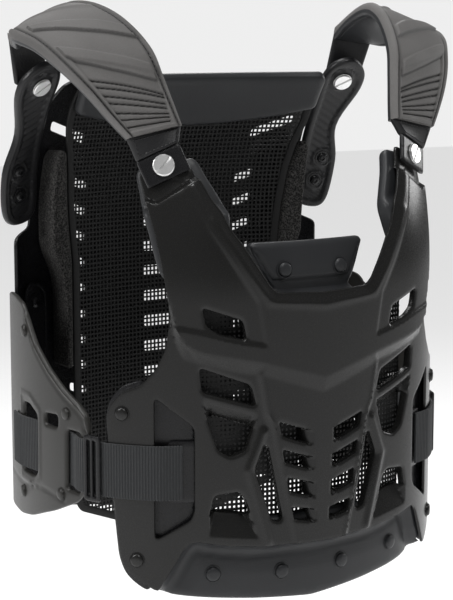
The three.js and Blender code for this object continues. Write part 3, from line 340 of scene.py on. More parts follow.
class Nodes:
    """Builds a node tree with short calls."""

    def __init__(self, tree):
        self.tree = tree

    def add(self, kind, links=(), **values):
        node = self.tree.nodes.new(kind)
        for key, value in values.items():
            setattr(node, key, value)
        for socket, source in dict(links).items():
            target = node.inputs[socket]
            if isinstance(source, bpy.types.NodeSocket):
                self.tree.links.new(source, target)
            else:
                target.default_value = source
        return node

    def noise(self, place, scale, detail, **values):
        links = {"Vector": place, "Scale": scale, "Detail": detail, **values}
        return self.add("ShaderNodeTexNoise", links).outputs["Fac"]

    def product(self, one, other):
        return self.add("ShaderNodeMath", {0: one, 1: other}, operation="MULTIPLY").outputs["Value"]

    def blend(self, factor, low, high):
        """Blends two colours, each of them plain or a socket."""
        return self.add("ShaderNodeMix", {0: factor, 6: low, 7: high}, data_type="RGBA").outputs[2]

    def bump(self, height, strength, distance, **values):
        links = {"Height": height, "Strength": strength, "Distance": distance, **values}
        return self.add("ShaderNodeBump", links).outputs["Normal"]


def new_material(name, roughness, **shader):
    """A material's nodes, its object coordinates, and a call that wires the shader's sockets and gives
    the material. The shader's plain values are set on its own sockets."""
    material = bpy.data.materials.new(name)
    material.use_nodes = True
    nodes = Nodes(material.node_tree)
    surface = material.node_tree.nodes["Principled BSDF"]
    surface.inputs["Roughness"].default_value = roughness
    for socket, value in shader.items():
        surface.inputs[socket.replace("_", " ")].default_value = value
    place = nodes.add("ShaderNodeTexCoord").outputs["Object"]

    def wire(**sockets):
        for socket, source in sockets.items():
            nodes.tree.links.new(source, surface.inputs[socket.replace("_", " ")])
        return material

    return nodes, place, wire


def moulded_plastic(name, dark, light, roughness, grain=0.5):
    """Moulded plastic: a fine spark-eroded grain, faint cloudy tone and patchy gloss."""
    nodes, place, wire = new_material(name, roughness, Specular_IOR_Level=0.34)
    tone = nodes.blend(nodes.noise(place, 14.0, 4.0), (*dark, 1), (*light, 1))
    speck = nodes.noise(place, 1500.0, 2.0)
    gloss = nodes.add("ShaderNodeMapRange", {
        "Value": speck, "From Min": 0.3, "From Max": 0.7,
        "To Min": roughness - 0.05, "To Max": roughness + 0.07})
    return wire(Base_Color=tone, Roughness=gloss.outputs["Result"], Normal=nodes.bump(speck, grain, 0.0002))


shell_plastic = moulded_plastic("shell_plastic", (0.009, 0.009, 0.0086), (0.014, 0.0138, 0.0134), 0.24, 0.15)
FRONT_GIRTH, FRONT_TOP, FRONT_HEIGHT = 200, -112, 400
on_front = sheet_map(FRONT_GIRTH, FRONT_TOP, FRONT_HEIGHT)
neck_edge = on_front([
    [0, 0.3075], [0.228, 0.3025], [0.263, 0.287], [0.278, 0.275], [0.324, 0.24], [0.38, 0.195],
    [0.42, 0.1675], [0.45, 0.13], [0.481, 0.1075], [0.52, 0.063]])
arm_edge = on_front([[0.532, 0.055], [0.566, 0.01], [0.772, 0.05], [0.764, 0.098], [0.762, 0.108]])
waist_edge = on_front([
    [0.74, 0.17], [0.728, 0.225], [0.71, 0.29], [0.698, 0.352], [0.715, 0.415], [0.76, 0.4625],
    [0.827, 0.4975], [0.91, 0.5125], [0.968, 0.5425], [0.985, 0.57], [0.98, 0.625], [0.95, 0.7675],
    [0.925, 0.875], [0.9, 0.9025], [0.855, 0.9225], [0.753, 0.95]])
arch_edge = on_front([
    [0.656, 0.8675], [0.632, 0.8475], [0.594, 0.8375], [0.43, 0.8525], [0.28, 0.86], [0, 0.8625]])
half_outline = np.concatenate([neck_edge, arm_edge, waist_edge, arch_edge])
front_outline = rounded(np.concatenate([half_outline, mirrored(half_outline[1:-1])]), 4, 2)

# The scoops and the slots over the belly have a sloping floor that leads in to a smaller mouth.
vents = {
    "chest": [[0.561, 0.3275], [0.39, 0.3575], [0.372, 0.4], [0.491, 0.385], [0.545, 0.3675],
              [0.556, 0.3425]],
    "flank": [[0.572, 0.4575], [0.345, 0.5], [0.319, 0.5475], [0.561, 0.51]],
    "upper_scoop": [[0.54, 0.567], [0.52, 0.565], [0.345, 0.592], [0.333, 0.593],
                    [0.365, 0.6425], [0.435, 0.655], [0.491, 0.6375], [0.535, 0.575]],
    "lower_scoop": [[0.508, 0.7375], [0.4, 0.7325], [0.372, 0.745], [0.345, 0.783], [0.38, 0.785],
                    [0.5, 0.775], [0.531, 0.785]],
    "kite": [[0.276, 0.635], [0.321, 0.6875], [0.244, 0.8025], [0.205, 0.8075], [0.194, 0.7975],
             [0.261, 0.64]],
}
strap_opening = on_front([
    [0.766, 0.52], [0.61, 0.58], [0.594, 0.5925], [0.594, 0.77], [0.61, 0.79], [0.766, 0.835]])
belly_slots = [  # far and near end, taper of the far end, level, drop to the near end, height
    (0.217, 0.054, 0.015, 0.585, 0.0275, 0.031), (0.197, 0.0455, 0.01, 0.6475, 0.025, 0.0275),
    (0.175, 0.0395, 0.008, 0.71, 0.02, 0.031), (0.153, 0.032, 0.013, 0.7775, 0.0115, 0.027)]
lipped = [rounded(on_front(v), 4) for v in vents.values()]
slot_floors = []
FLOOR_RUN, MOUTH_DEPTH = 0.036, -5
for far, near, taper, level, drop, height in belly_slots:
    mouth = near + FLOOR_RUN
    mouth_level = level + drop * (far - mouth) / (far - near)
    lipped.append(rounded(on_front([
        [far, level], [mouth, mouth_level],
        [mouth, mouth_level + height], [far - taper, level + height]]), 2))
    slot_floors.append([
        (near, level + drop, 3), (near, level + drop + height, 3),
        (mouth, mouth_level + height, MOUTH_DEPTH), (mouth, mouth_level, MOUTH_DEPTH)])
lipped += [mirrored(v) for v in lipped]
strap_holes = [rounded(strap_opening, 6), mirrored(rounded(strap_opening, 6))]

# Levels of the moulded forms, as patches whose corners name how proud they stand.
step_top = [
    [0.71, 0.29], [0.672, 0.365], [0.655, 0.39], [0.62, 0.413], [0.58, 0.423], [0.278, 0.455], [0, 0.495]]
step_low = [
    [0.698, 0.352], [0.668, 0.41], [0.635, 0.438], [0.572, 0.447], [0.38, 0.472], [0.326, 0.476]]
bevel_low = [[0.326, 0.476], [0.292, 0.5625], [0.264, 0.5925], [0.147, 0.862]]
bevel_top = [[0.3, 0.478], [0.27, 0.5625], [0.242, 0.5925], [0.125, 0.8625]]


def with_level(rows, level):
    return [(a, d, level) for a, d in rows]


def strips(one, other):
    """Triangles between two rows of corners that run the same way."""
    i = j = 0
    found = []
    while i < len(one) - 1 or j < len(other) - 1:
        if j == len(other) - 1 or (i < len(one) - 1 and i * (len(other) - 1) <= j * (len(one) - 1)):
            found.append((one[i], one[i + 1], other[j]))
            i += 1
        else:
            found.append((one[i], other[j + 1], other[j]))
            j += 1
    return found


step_patch = strips(
    with_level(step_top, 6), [*with_level(step_low, 0), (0.3, 0.478, 3), (0, 0.5275, 3)])
bevel_patch = strips(with_level(bevel_low, 0), with_level(bevel_top, 3))
ramp_patch = strips([(0.319, 0.565, 0), (0.561, 0.525, 0)], [(0.345, 0.592, -9), (0.52, 0.565, -9)])
ramp_patch += strips([(0.303, 0.84, 0), (0.529, 0.825, 0)], [(0.375, 0.785, -9), (0.5, 0.775, -9)])
ramp_patch += [
    ((0.303, 0.84, 0), (0.345, 0.783, 0), (0.375, 0.785, -9)),
    ((0.529, 0.825, 0), (0.5, 0.775, -9), (0.531, 0.785, 0)),
    ((0.321, 0.575, 0), (0.333, 0.593, 0), (0.345, 0.592, -9)),
    ((0.321, 0.575, 0), (0.345, 0.592, -9), (0.319, 0.565, 0)),
    ((0.561, 0.525, 0), (0.52, 0.565, -9), (0.54, 0.567, 0))]
for a, b, c, d in slot_floors:
    ramp_patch += [(a, b, c), (a, c, d)]
lip_patch = strips(
    with_level([[0.762, 0.108], [0.716, 0.115], [0.52, 0.063]], 6),
    with_level([[0.764, 0.098], [0.718, 0.106], [0.532, 0.055]], 1))
chest_area = on_front([
    [0, 0.2], [0.5, 0], [0.52, 0.063], [0.716, 0.115], [0.762, 0.108], [0.9, 0.1], *step_top])
pocket_area = on_front([
    [0.5, -0.02], [0.9, -0.02], [0.9, 0.098], [0.764, 0.098], [0.718, 0.106], [0.532, 0.055]])
belly_area = on_front([[0, 0.5275], *bevel_top, [0, 0.8625]])
pec_line = np.array([
    (118, -138), (101.6, -180), (84, -208), (63, -240), (56, -279), (80, -274), (112, -265), (146, -258)])
pec_panel = np.concatenate([pec_line, [(170, -258), (170, -120)]])
collar_line = np.array([(100, -172), (70, -219), (54, -240), (0, -246)])
kite_ridge = on_front([[0.285, 0.605], [0.352, 0.688], [0.262, 0.85]])
panel_ridge = on_front([[0.3, 0.478], [0.27, 0.5625], [0.242, 0.5925], [0.125, 0.862]])
SHELL_THICKNESS, LIP_DEPTH = 3.0, 4.5
NECK_LEVEL, LIP_LEVEL = -262, -438  # the neck's roll ends here, and so do the lips of the vents


def form_level(points):
    """How proud the plain moulded form stands at points of the right half."""
    level = np.where(inside(points, chest_area), 6.0, 0.0)
    level = np.where(inside(points, belly_area), 3.0, level)
    level = np.where(inside(points, pocket_area), 1.0, level)
    for corners in [*step_patch, *bevel_patch, *ramp_patch, *lip_patch]:
        a, b, c = on_front([corner[:2] for corner in corners])
        area = np.cross(b - a, c - a)
        if abs(area) < 1e-6:
            continue
        shares = np.stack([
            np.cross(one - points, other - points) for one, other in ((b, c), (c, a), (a, b))], 1) / area
        hit = (shares > -1e-4).all(1)
        level[hit] = shares[hit] @ np.array([corner[2] for corner in corners])
    return level


def vent_room(points):
    return np.min([reach(points, vent, True) for vent in lipped], axis=0)


def shell_face(points, room):
    """The outer face of the chest shell: it rolls down to the neck, and its upper sides lie a little
    lower, inside a collar line."""
    half = folded(points)
    level = form_level(half)
    level -= np.clip(1 - reach(half, neck_edge) / 8, 0, 1) * 3.2 * (half[:, 1] > NECK_LEVEL)
    level -= slope(reach(half, pec_line), 2.2) * 1.1 * inside(half, pec_panel)
    level += ridge(half, collar_line, 0.9, 3.2)
    level += ridge(half, kite_ridge, 2.2, 3.4) + ridge(half, panel_ridge, 0.7, 2.2)
    return level - edge_roll(vent_room(points), 3.4, 1.5) - edge_roll(room, 1.1, 1.0)


def shell_inside(points, room):
    """Its inner face, with the lips that turn inwards round the vents."""
    half = folded(points)
    lip = slope(3.4 - vent_room(points), 1.4) * LIP_DEPTH * (half[:, 1] > LIP_LEVEL)
    return form_level(half) - SHELL_THICKNESS - lip + edge_roll(room, 0.9, 0.5)


front_shell = wall_sheet(
    "chest_shell", front_wall, front_outline, lipped + strap_holes, shell_face, shell_inside, 2.1,
    shell_plastic, rims=(0.5, 1.5, 3.4), sharp=38)
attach(front_shell, "root")
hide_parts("front_shell")

# The chest pad fills the notch under the neck: foam welded into a smooth vinyl skin, with a weld line
# along its lower border and two domed rivets through it. Its foot is tucked behind the shell.


def leather(name, dark, light, roughness, scale=900.0, depth=0.00025):
    """Smooth vinyl: a fine pebble grain under a low sheen, with soft clouds of tone."""
    nodes, place, wire = new_material(name, roughness, Specular_IOR_Level=0.36)
    cloud = nodes.noise(place, 22.0, 3.0)
    pebble = nodes.add("ShaderNodeTexVoronoi", {"Vector": place, "Scale": scale}).outputs["Distance"]
    soft = nodes.bump(cloud, 0.3, 0.002, Normal=nodes.bump(pebble, 0.35, depth))
    return wire(Base_Color=nodes.blend(cloud, (*dark, 1), (*light, 1)), Normal=soft)


vinyl = leather("vinyl", (0.018, 0.019, 0.021), (0.027, 0.028, 0.03), 0.42)
black_plastic = moulded_plastic("black_plastic", (0.006, 0.006, 0.007), (0.011, 0.011, 0.012), 0.27)


def ramp(level, from_level, to_level, start, end):
    """Runs from one value to another between two levels."""
    share = np.clip((level - from_level) / (to_level - from_level), 0, 1)
    share = share * share * (3 - 2 * share)
    return start + (end - start) * share


def whole(half):
    """A whole outline from its half, which starts and ends on the centre line."""
    half = np.asarray(half, float)
    return np.concatenate([half, mirrored(half[half[:, 0] > 0])])


chest_half = on_front([
    [0, 0.36], [0.19, 0.36], [0.2, 0.322], [0.222, 0.295], [0.24, 0.284], [0.315, 0.203],
    [0.295, 0.1925], [0, 0.1925]])
chest_weld = on_front([
    [-0.285, 0.218], [-0.218, 0.274], [-0.205, 0.281], [0.205, 0.281], [0.218, 0.274], [0.285, 0.218]])
PAD_REAR = -29


def chest_face(points, room):
    level = points[:, 1]
    face = ramp(level, -231.5, -240.5, -15.0, 2.0)
    face += 1.6 * slope(room, 22) * (level > -226)
    return face - edge_roll(room, 5, 4.5) - ridge(points, chest_weld, 1.4, 1.3)


chest_pad = wall_sheet(
    "chest_pad_skin", front_wall, rounded(whole(chest_half), 7), [], chest_face,
    plain_face(PAD_REAR, 5, -4.5), 3.0, vinyl, lines=[chest_weld], rims=(0.6, 1.8, 3.4))
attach(chest_pad, "root")
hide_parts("chest_pad")

# The belly pad closes the arch under the chest shell: the same foam and vinyl, hung behind the shell
# on four domed rivets, with a weld line inside its upper border.
belly_half = on_front([
    [0, 0.795], [0.26, 0.8], [0.285, 0.846], [0.45, 0.846], [0.56, 0.822], [0.64, 0.83], [0.7, 0.868],
    [0.785, 0.945], [0.742, 0.962], [0.7, 0.967], [0.54, 0.975], [0.3, 0.9875], [0, 1]])
belly_setback = on_front([
    [0, 0.885], [0.28, 0.882], [0.43, 0.875], [0.58, 0.86], [0.61, 0.87], [0.63, 0.885], [0.7, 0.945],
    [0.742, 0.962]])
belly_arch = np.concatenate([arch_edge[::-1], on_front([[0.753, 0.948]])])
belly_shown = np.concatenate([belly_setback, on_front([[0.742, 1.1], [0, 1.1]])])
belly_hidden = np.concatenate([belly_arch, on_front([[0.8, 0.7], [0, 0.7]])])
BELLY_TOP, BELLY_FACE = -3.9, -14.0  # where the pad meets the shell, and where it shows


def belly_face(points, room):
    half = folded(points)
    up, down = reach(half, belly_arch), reach(half, belly_setback)
    share = up / np.maximum(up + down, 1e-6)
    shown = inside(half, belly_shown)
    between = BELLY_TOP - 10.1 * np.sin(share * math.pi / 2)
    level = np.where(shown, BELLY_FACE, np.where(inside(half, belly_hidden), BELLY_TOP, between))
    level += 1.4 * slope(down, 18) * shown
    return level - edge_roll(room, 5.5, 5) - 0.8 * bell(down - 3, 1.4) * shown


def belly_rear(points, room):
    half = folded(points)
    away = slope(reach(half, belly_setback), 10)
    level = np.where(inside(half, belly_shown), PAD_REAR, PAD_REAR + 14.6 * away)
    return level + edge_roll(room, 5.5, 5)


belly_pad = wall_sheet(
    "belly_pad_skin", front_wall, rounded(whole(belly_half[::-1]), 6), [], belly_face, belly_rear, 3.4, vinyl,
    rims=(0.7, 2, 4))
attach(belly_pad, "root")
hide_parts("belly_pad")

# Linings on the inside of the chest shell: a thin black rim round each side flange, and a soft pad
# down each arm whose edges stand out on both sides of the plastic.
flank_half = on_front([
    [0.775, 0.5], [0.8, 0.5], [0.83, 0.486], [0.915, 0.499], [0.98, 0.532], [1, 0.567], [0.996, 0.627],
    [0.966, 0.77], [0.941, 0.88], [0.91, 0.915], [0.862, 0.936], [0.8, 0.953], [0.775, 0.925],
    [0.655, 0.825], [0.6, 0.808], [0.58, 0.8], [0.58, 0.58], [0.6, 0.565]])
arm_half = on_front([
    [0.789, 0.118], [0.79, 0.05], [0.77, 0.035], [0.525, 0.012], [0.503, 0.02], [0.475, 0.0575],
    [0.445, 0.088], [0.405, 0.135], [0.44, 0.2], [0.52, 0.28], [0.6, 0.29], [0.67, 0.285], [0.735, 0.262],
    [0.757, 0.215], [0.775, 0.155]])
SIDES = (("right", mirrored), ("left", np.asarray))
FLANK_THICKNESS = 4


def flank_level(points):
    """The rim lies on the shell, and further in the sheet steps back behind the webbing."""
    return ramp(np.abs(points[:, 0]), 155, 160, -7.8, -3.9)


def arm_face(points, room):
    """The pad starts behind the shell and stands out past it further down."""
    return ramp(points[:, 1], -158, -167, -2.9, 2.1) - edge_roll(room, 4.2, 3.6)


for side, shape in SIDES:
    rim = wall_sheet(
        f"flank_rim_{side}", front_wall, rounded(shape(flank_half), 8), [],
        lambda points, room: flank_level(points) - edge_roll(room, 1.6, 1.4),
        lambda points, room: flank_level(points) - FLANK_THICKNESS + edge_roll(room, 1.6, 1.4),
        4, black_plastic, rims=(0.5, 1.4))
    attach(rim, "root")
    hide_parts(f"flank_liner_{side}")
    pad = wall_sheet(
        f"arm_pad_{side}", front_wall, rounded(shape(arm_half), 8), [], arm_face,
        plain_face(-12.9, 4.2, -3.6), 3.2, vinyl, rims=(0.6, 1.7, 3))
    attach(pad, "root")
    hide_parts(f"arm_liner_{side}")

# The back shell: glossy black plastic behind the mesh, with a column of slanted air slots down each
# side, upright rows of slots over the spine and a slot over each shoulder blade.
BACK_ARC = 600
back_turn = math.asin(150 / BACK_ARC)
back_wall = BodyWall(
    side=1, arcs=[(BACK_ARC, back_turn), (34, math.radians(74) - back_turn), (320, math.pi / 2)],
    depth=138, bend_level=-214, bend_radius=250)
on_back = sheet_map(180, -54, 440)
SLOT_PITCH = 0.0577
back_half = on_back([
    [0, 0], [0.42, 0], [0.655, 0], [0.75, 0.018], [0.82, 0.06], [0.84, 0.12], [0.84, 0.2], [0.84, 0.327],
    [0.989, 0.35], [0.989, 0.5], [0.944, 0.56], [0.944, 0.88], [0.9, 0.93], [0.84, 0.945], [0.7, 0.955],
    [0.62, 0.96], [0.42, 0.973], [0.25, 0.988], [0, 0.995]])
shoulder_slot = on_back([[0.763, 0.093], [0.525, 0.127], [0.525, 0.148], [0.763, 0.114]])
back_slots = [rounded(shoulder_slot, 3, 3)]
for row in range(11):
    top = 0.22 + row * SLOT_PITCH
    back_slots.append(rounded(on_back([
        [0.578, top], [0.467, top + 0.016], [0.467, top + 0.034], [0.578, top + 0.018]]), 3, 3))
back_slots += [mirrored(slot) for slot in back_slots]
for row in range(7):
    top = 0.32 + row * SLOT_PITCH
    back_slots.append(rounded(on_back([
        [0.083, top], [-0.083, top], [-0.083, top + 0.025], [0.083, top + 0.025]]), 3, 3))
spine_frame = on_back([[0.14, 0.28], [0.14, 0.74], [0.08, 0.79], [-0.08, 0.79], [-0.14, 0.74], [-0.14, 0.28]])


def back_face(points, room):
    return ridge(folded(points), spine_frame, 0.9, 4, True) - edge_roll(room, 1.6, 1.2)


back_shell = wall_sheet(
    "back_panel", back_wall, rounded(whole(back_half), 5, 3), back_slots, back_face,
    plain_face(-3.5, 0.8, -0.5), 5.5, black_plastic, rims=(0.5, 1.5))
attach(back_shell, "root")
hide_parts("back_shell")

# The mesh liner: a sheet of soft plastic netting with square holes, bound with a sewn edge. It hangs
# off the collar pad and stands clear of the shell. The netting is cut from a plain grid of cells:
# each cell gets a hole and the sheet its thickness.
liner_wall = BodyWall(side=1, arcs=[(400, math.pi / 2)], depth=108, bend_level=-207, bend_radius=255)
LINER_HALF, MESH_PITCH, MESH_WALL = 118, 4.3, 1.1
on_liner = sheet_map(LINER_HALF, -58, 442)


def node_tree(name, sizes):
    """An empty geometry tree with a mesh going in and out and the named sizes."""
    tree = bpy.data.node_groups.new(name, "GeometryNodeTree")
    tree.interface.new_socket("Geometry", in_out="INPUT", socket_type="NodeSocketGeometry")
    for label, kind in sizes.items():
        tree.interface.new_socket(label, in_out="INPUT", socket_type=kind)
    tree.interface.new_socket("Geometry", in_out="OUTPUT", socket_type="NodeSocketGeometry")
    nodes = Nodes(tree)
    return tree, nodes, nodes.add("NodeGroupInput").outputs, nodes.add("NodeGroupOutput")


def run_tree(name, mesh, tree, values):
    """Runs a geometry tree on a mesh and returns the plain mesh that comes out, as a piece."""
    source = bpy.data.objects.new(f"{name}_source", mesh)
    bpy.context.scene.collection.objects.link(source)
    modifier = source.modifiers.new("build", "NODES")
    modifier.node_group = tree
    for item in tree.interface.items_tree:
        if item.item_type == "SOCKET" and item.in_out == "INPUT" and item.name in values:
            modifier[item.identifier] = values[item.name]
    depsgraph = bpy.context.evaluated_depsgraph_get()
    plain = bpy.data.meshes.new_from_object(source.evaluated_get(depsgraph), depsgraph=depsgraph)
    plain.name = name
    bpy.data.objects.remove(source)
    piece = bpy.data.objects.new(name, plain)
    bpy.context.scene.collection.objects.link(piece)
    return piece


WELD_REACH = 0.00001  # metres


def netting_tree():
    """Opens a square hole in each cell of a sheet, and gives the sheet its thickness."""
    tree, nodes, sizes, out = node_tree("netting", {
        "Hole": "NodeSocketFloat", "Thickness": "NodeSocketFloat", "Material": "NodeSocketMaterial"})
    cell = nodes.add("GeometryNodeExtrudeMesh", {
        "Mesh": sizes["Geometry"], "Offset Scale": 0.0, "Individual": True}, mode="FACES")
    shrunk = nodes.add("GeometryNodeScaleElements", {
        "Geometry": cell.outputs["Mesh"], "Selection": cell.outputs["Top"], "Scale": sizes["Hole"]
    }, domain="FACE")
    holed = nodes.add("GeometryNodeDeleteGeometry", {
        "Geometry": shrunk.outputs["Geometry"], "Selection": cell.outputs["Top"]}, domain="FACE")
    sheet = nodes.add("GeometryNodeMergeByDistance", {
        "Geometry": holed.outputs["Geometry"], "Distance": WELD_REACH})
    raised = nodes.add("GeometryNodeExtrudeMesh", {
        "Mesh": sheet.outputs["Geometry"], "Offset Scale": sizes["Thickness"], "Individual": False
    }, mode="FACES")
    under = nodes.add("GeometryNodeFlipFaces", {"Mesh": sheet.outputs["Geometry"]})
    joined = nodes.add("GeometryNodeJoinGeometry")
    tree.links.new(raised.outputs["Mesh"], joined.inputs[0])
    tree.links.new(under.outputs["Mesh"], joined.inputs[0])
    closed = nodes.add("GeometryNodeMergeByDistance", {
        "Geometry": joined.outputs["Geometry"], "Distance": WELD_REACH})
    painted = nodes.add("GeometryNodeSetMaterial", {
        "Geometry": closed.outputs["Geometry"], "Material": sizes["Material"]})
    tree.links.new(painted.outputs["Geometry"], out.inputs["Geometry"])
    return tree


liner_half = on_liner([
    [0, 0], [1.1, 0], [1.16, 0.065], [1.15, 0.104], [1.1, 0.15], [1.06, 0.206], [1.02, 0.303], [0.985, 0.39],
    [0.985, 0.92], [0.93, 0.945], [0.6, 0.98], [0.3, 1.01], [0, 1.02]])
liner_outline = rounded(whole(liner_half), 5, 3)
mesh_fabric = leather("mesh_fabric", (0.004, 0.004, 0.004), (0.009, 0.009, 0.009), 0.62, 2400.0, 0.0001)
netting_nodes = netting_tree()


def mesh_sheet(name, wall, outline, face, thickness, border, hole, node):
    """A sheet of netting inside a bound border, whose front lies so far proud of the wall."""
    low, high = outline.min(0), outline.max(0)
    columns, rows = (
        np.arange(math.ceil(low[k] / MESH_PITCH), high[k] / MESH_PITCH) * MESH_PITCH for k in range(2))
    columns = columns + MESH_PITCH / 2
    cells = np.array([(x, z) for z in rows for x in columns])
    cells = cells[inside(cells, outline) & (reach(cells, outline, True) > border * 0.7)]
    corner = np.array([(-1, -1), (1, -1), (1, 1), (-1, 1)]) * MESH_PITCH / 2
    spots = (cells[:, None] + corner).reshape(-1, 2).round(4)
    spots, quads = np.unique(spots, axis=0, return_inverse=True)
    grid = bpy.data.meshes.new(f"{name}_cells")
    middle = face - (thickness + MESH_WALL) / 2
    grid.from_pydata(wall.place(spots, middle).tolist(), [], quads.reshape(-1, 4)[:, ::-wall.side].tolist())
    netting = run_tree(f"{name}_netting", grid, netting_nodes, {
        "Hole": hole, "Thickness": MESH_WALL * MM, "Material": mesh_fabric})
    inset = stepped(outline, 4, True)
    heading = np.roll(inset, -1, axis=0) - np.roll(inset, 1, axis=0)
    square = np.stack([heading[:, 1], -heading[:, 0]], 1) / np.linalg.norm(heading, axis=1)[:, None]
    inset = inset + square * border * (1 if inside(inset[:1] + square[:1], outline)[0] else -1)
    inset = inset[reach(inset, outline, True) > border * 0.97]
    binding = wall_sheet(
        f"{name}_binding", wall, outline, [inset], plain_face(face, 1.2, thickness * 0.4),
        plain_face(face - thickness, 1.2, -thickness * 0.4), 6, mesh_fabric, rims=(0.4, 1.2))
    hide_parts(node)
    for piece in (netting, binding):
        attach(piece, "root")


mesh_sheet("back_mesh", liner_wall, liner_outline, 3, 3, 7.5, 0.64, "back_mesh_panel")

# A second sheet of the same netting lies behind the air vents of the chest shell.
front_mesh_half = on_front([
    [0, 0.372], [0.21, 0.372], [0.24, 0.31], [0.56, 0.305], [0.572, 0.32], [0.572, 0.8],
    [0.56, 0.832], [0.45, 0.857], [0.295, 0.857], [0.272, 0.81], [0.258, 0.807], [0, 0.803]])
mesh_sheet(
    "chest_mesh", front_wall, rounded(whole(front_mesh_half), 3, 2), -12.9, 2, 3, 0.5,
    "front_mesh_liner")

# The collar pad: smooth vinyl over foam along the top of the liner, ahead of the mesh.
collar_half = [
    (0, -50), (130, -50), (136, -55.25), (136, -85), (102, -91.6), (68, -96.25), (34, -99), (0, -100)]
collar_pad = wall_sheet(
    "collar_pad_skin", liner_wall, rounded(whole(collar_half), 5, 3), [],
    plain_face(-0.9, 5, 4.5), plain_face(-12.9, 5.5, -5), 4, vinyl, rims=(0.7, 2, 4))
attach(collar_pad, "root")
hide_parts("back_collar_pad")

# Two bolsters of cut open-cell foam fill the space between the liner and the back shell. The cut
# faces show the cells as a coarse speckle.


class FoamSpace:
    """The space between the front of the liner and the inside of the back shell, as shares of it."""

    def place(self, points, share):
        points = np.asarray(points, float).reshape(-1, 2)
        near = liner_wall.place(points, -2.0)
        x = liner_wall.place(points, 0)[:, 0] / MM
        far = back_wall.place(np.stack([BACK_ARC * np.arcsin(x / BACK_ARC), points[:, 1]], 1), -4.4)
        return near + (far - near) * np.broadcast_to(share, len(points))[:, None]


def open_foam(name):
    nodes, place, wire = new_material(name, 0.95, Specular_IOR_Level=0.2)
    cell = nodes.add("ShaderNodeTexVoronoi", {"Vector": place, "Scale": 620.0, "Randomness": 1.0})
    mixed = nodes.product(cell.outputs["Distance"], nodes.noise(place, 380.0, 5.0, Roughness=0.7))
    tone = nodes.add("ShaderNodeValToRGB", {"Fac": mixed})
    ramp_stops = tone.color_ramp.elements
    ramp_stops[0].position, ramp_stops[0].color = 0.12, (0.006, 0.006, 0.006, 1)
    ramp_stops[1].position, ramp_stops[1].color = 0.5, (0.075, 0.073, 0.07, 1)
    return wire(Base_Color=tone.outputs["Color"], Normal=nodes.bump(mixed, 0.8, 0.0008))


black_foam = open_foam("black_foam")
gap = 2.4 / LINER_HALF
foam_half = on_liner([
    [1.1 + gap, 0.15], [1.06 + gap, 0.206], [1.02 + gap, 0.303], [0.985 + gap, 0.39], [0.985 + gap, 0.62],
    [1.07, 0.62], [1.07, 0.46], [1.1, 0.42], [1.21, 0.356], [1.225, 0.25], [1.215, 0.16], [1.18, 0.143]])
for side, shape in SIDES:
    foam = wall_sheet(
        f"foam_bolster_{side}", FoamSpace(), rounded(shape(foam_half), 6), [],
        plain_face(1, 2.5, 0.06), plain_face(0, 3.5, -0.1), 5, black_foam, rims=(0.6, 2, 3.5), sharp=60)
    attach(foam, "root")
    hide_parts(f"back_foam_{side}")

# The shoulder brackets: thick moulded arms on the inside of the back shell. A smooth rounded rim runs
# round a sunk panel with slanted grooves, and a bolt seat is sunk at each fixing.
bracket_wall = BodyWall(
    side=1, arcs=[(BACK_ARC, math.pi / 2)], depth=138, bend_level=-214, bend_radius=250)
bracket_plastic = moulded_plastic("bracket_plastic", (0.011, 0.011, 0.012), (0.018, 0.018, 0.019), 0.3)
on_bracket = sheet_map(50, -36, 156, start=170)


def smooth_curve(points, steps, closed=False):
    """A smooth curve through points, which slows down where they lie close together."""
    points = np.asarray(points, float)
    count = len(points)
    found = []
    for i in range(count if closed else count - 1):
        a, b = points[i], points[(i + 1) % count]
        before = points[i - 1] if closed or i > 0 else 2 * a - b
        after = points[(i + 2) % count] if closed or i + 2 < count else 2 * b - a
        t0, t1, t2 = (np.linalg.norm(q - p) ** 0.5 for p, q in ((before, a), (a, b), (b, after)))
        lead = (a - before) / t0 - (b - before) / (t0 + t1) + (b - a) / t1
        trail = (b - a) / t1 - (after - a) / (t1 + t2) + (after - b) / t2
        lead, trail = lead * t1, trail * t1
        second, third = 3 * (b - a) - 2 * lead - trail, 2 * (a - b) + lead + trail
        for t in np.arange(steps) / steps:
            found.append(a + lead * t + second * t ** 2 + third * t ** 3)
    if not closed:
        found.append(points[-1])
    return np.array(found)


bracket_half = smooth_curve(on_bracket([
    [0.04, 0], [0.42, 0.09], [0.48, 0.19], [0.26, 0.44], [0.42, 0.68], [0.32, 0.95], [0.16, 1],
    [-0.24, 0.98], [-0.4, 0.91], [-0.38, 0.68], [-0.38, 0.47], [-0.38, 0.29], [-0.42, 0.09], [-0.3, 0.02]]),
    6, True)
bracket_bolts = on_bracket([[0.1, 0.66], [0.02, 0.815], [0, 0.13]])


BRACKET_OUTSIDE, BRACKET_INSIDE = -4.4, -11.4
GROOVE_PITCH, PANEL_RIM, SEAT_RADIUS = 6.8, 6.5, 9


def bracket_inside(points, room):
    """The face that shows: a rounded rim, a sunk panel with slanted grooves, and sunk bolt seats."""
    half = folded(points)
    face = BRACKET_INSIDE + edge_roll(room, 3.2, 2.6)
    slant = (half[:, 1] + 0.55 * half[:, 0]) / GROOVE_PITCH
    groove = np.clip(1.9 * (0.5 - np.abs(slant - np.round(slant))) - 0.25, 0, 0.6)
    bolt = np.min([np.linalg.norm(half - spot, axis=1) for spot in bracket_bolts], axis=0)
    panel = slope(room - PANEL_RIM, 1.2) * slope(bolt - SEAT_RADIUS - 0.5, 1.5)
    return face + panel * (0.7 + (0.6 - groove) * 1.4) + slope(SEAT_RADIUS - bolt, 0.8) * 0.7


for side, shape in SIDES:
    bracket = wall_sheet(
        f"bracket_{side}", bracket_wall, shape(bracket_half), [], plain_face(BRACKET_OUTSIDE, 1.5, 1.2),
        bracket_inside, 2.0, bracket_plastic, rims=(0.5, 1.4, 2.4, 3.4))
    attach(bracket, "root")
    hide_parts(f"shoulder_bracket_{side}")

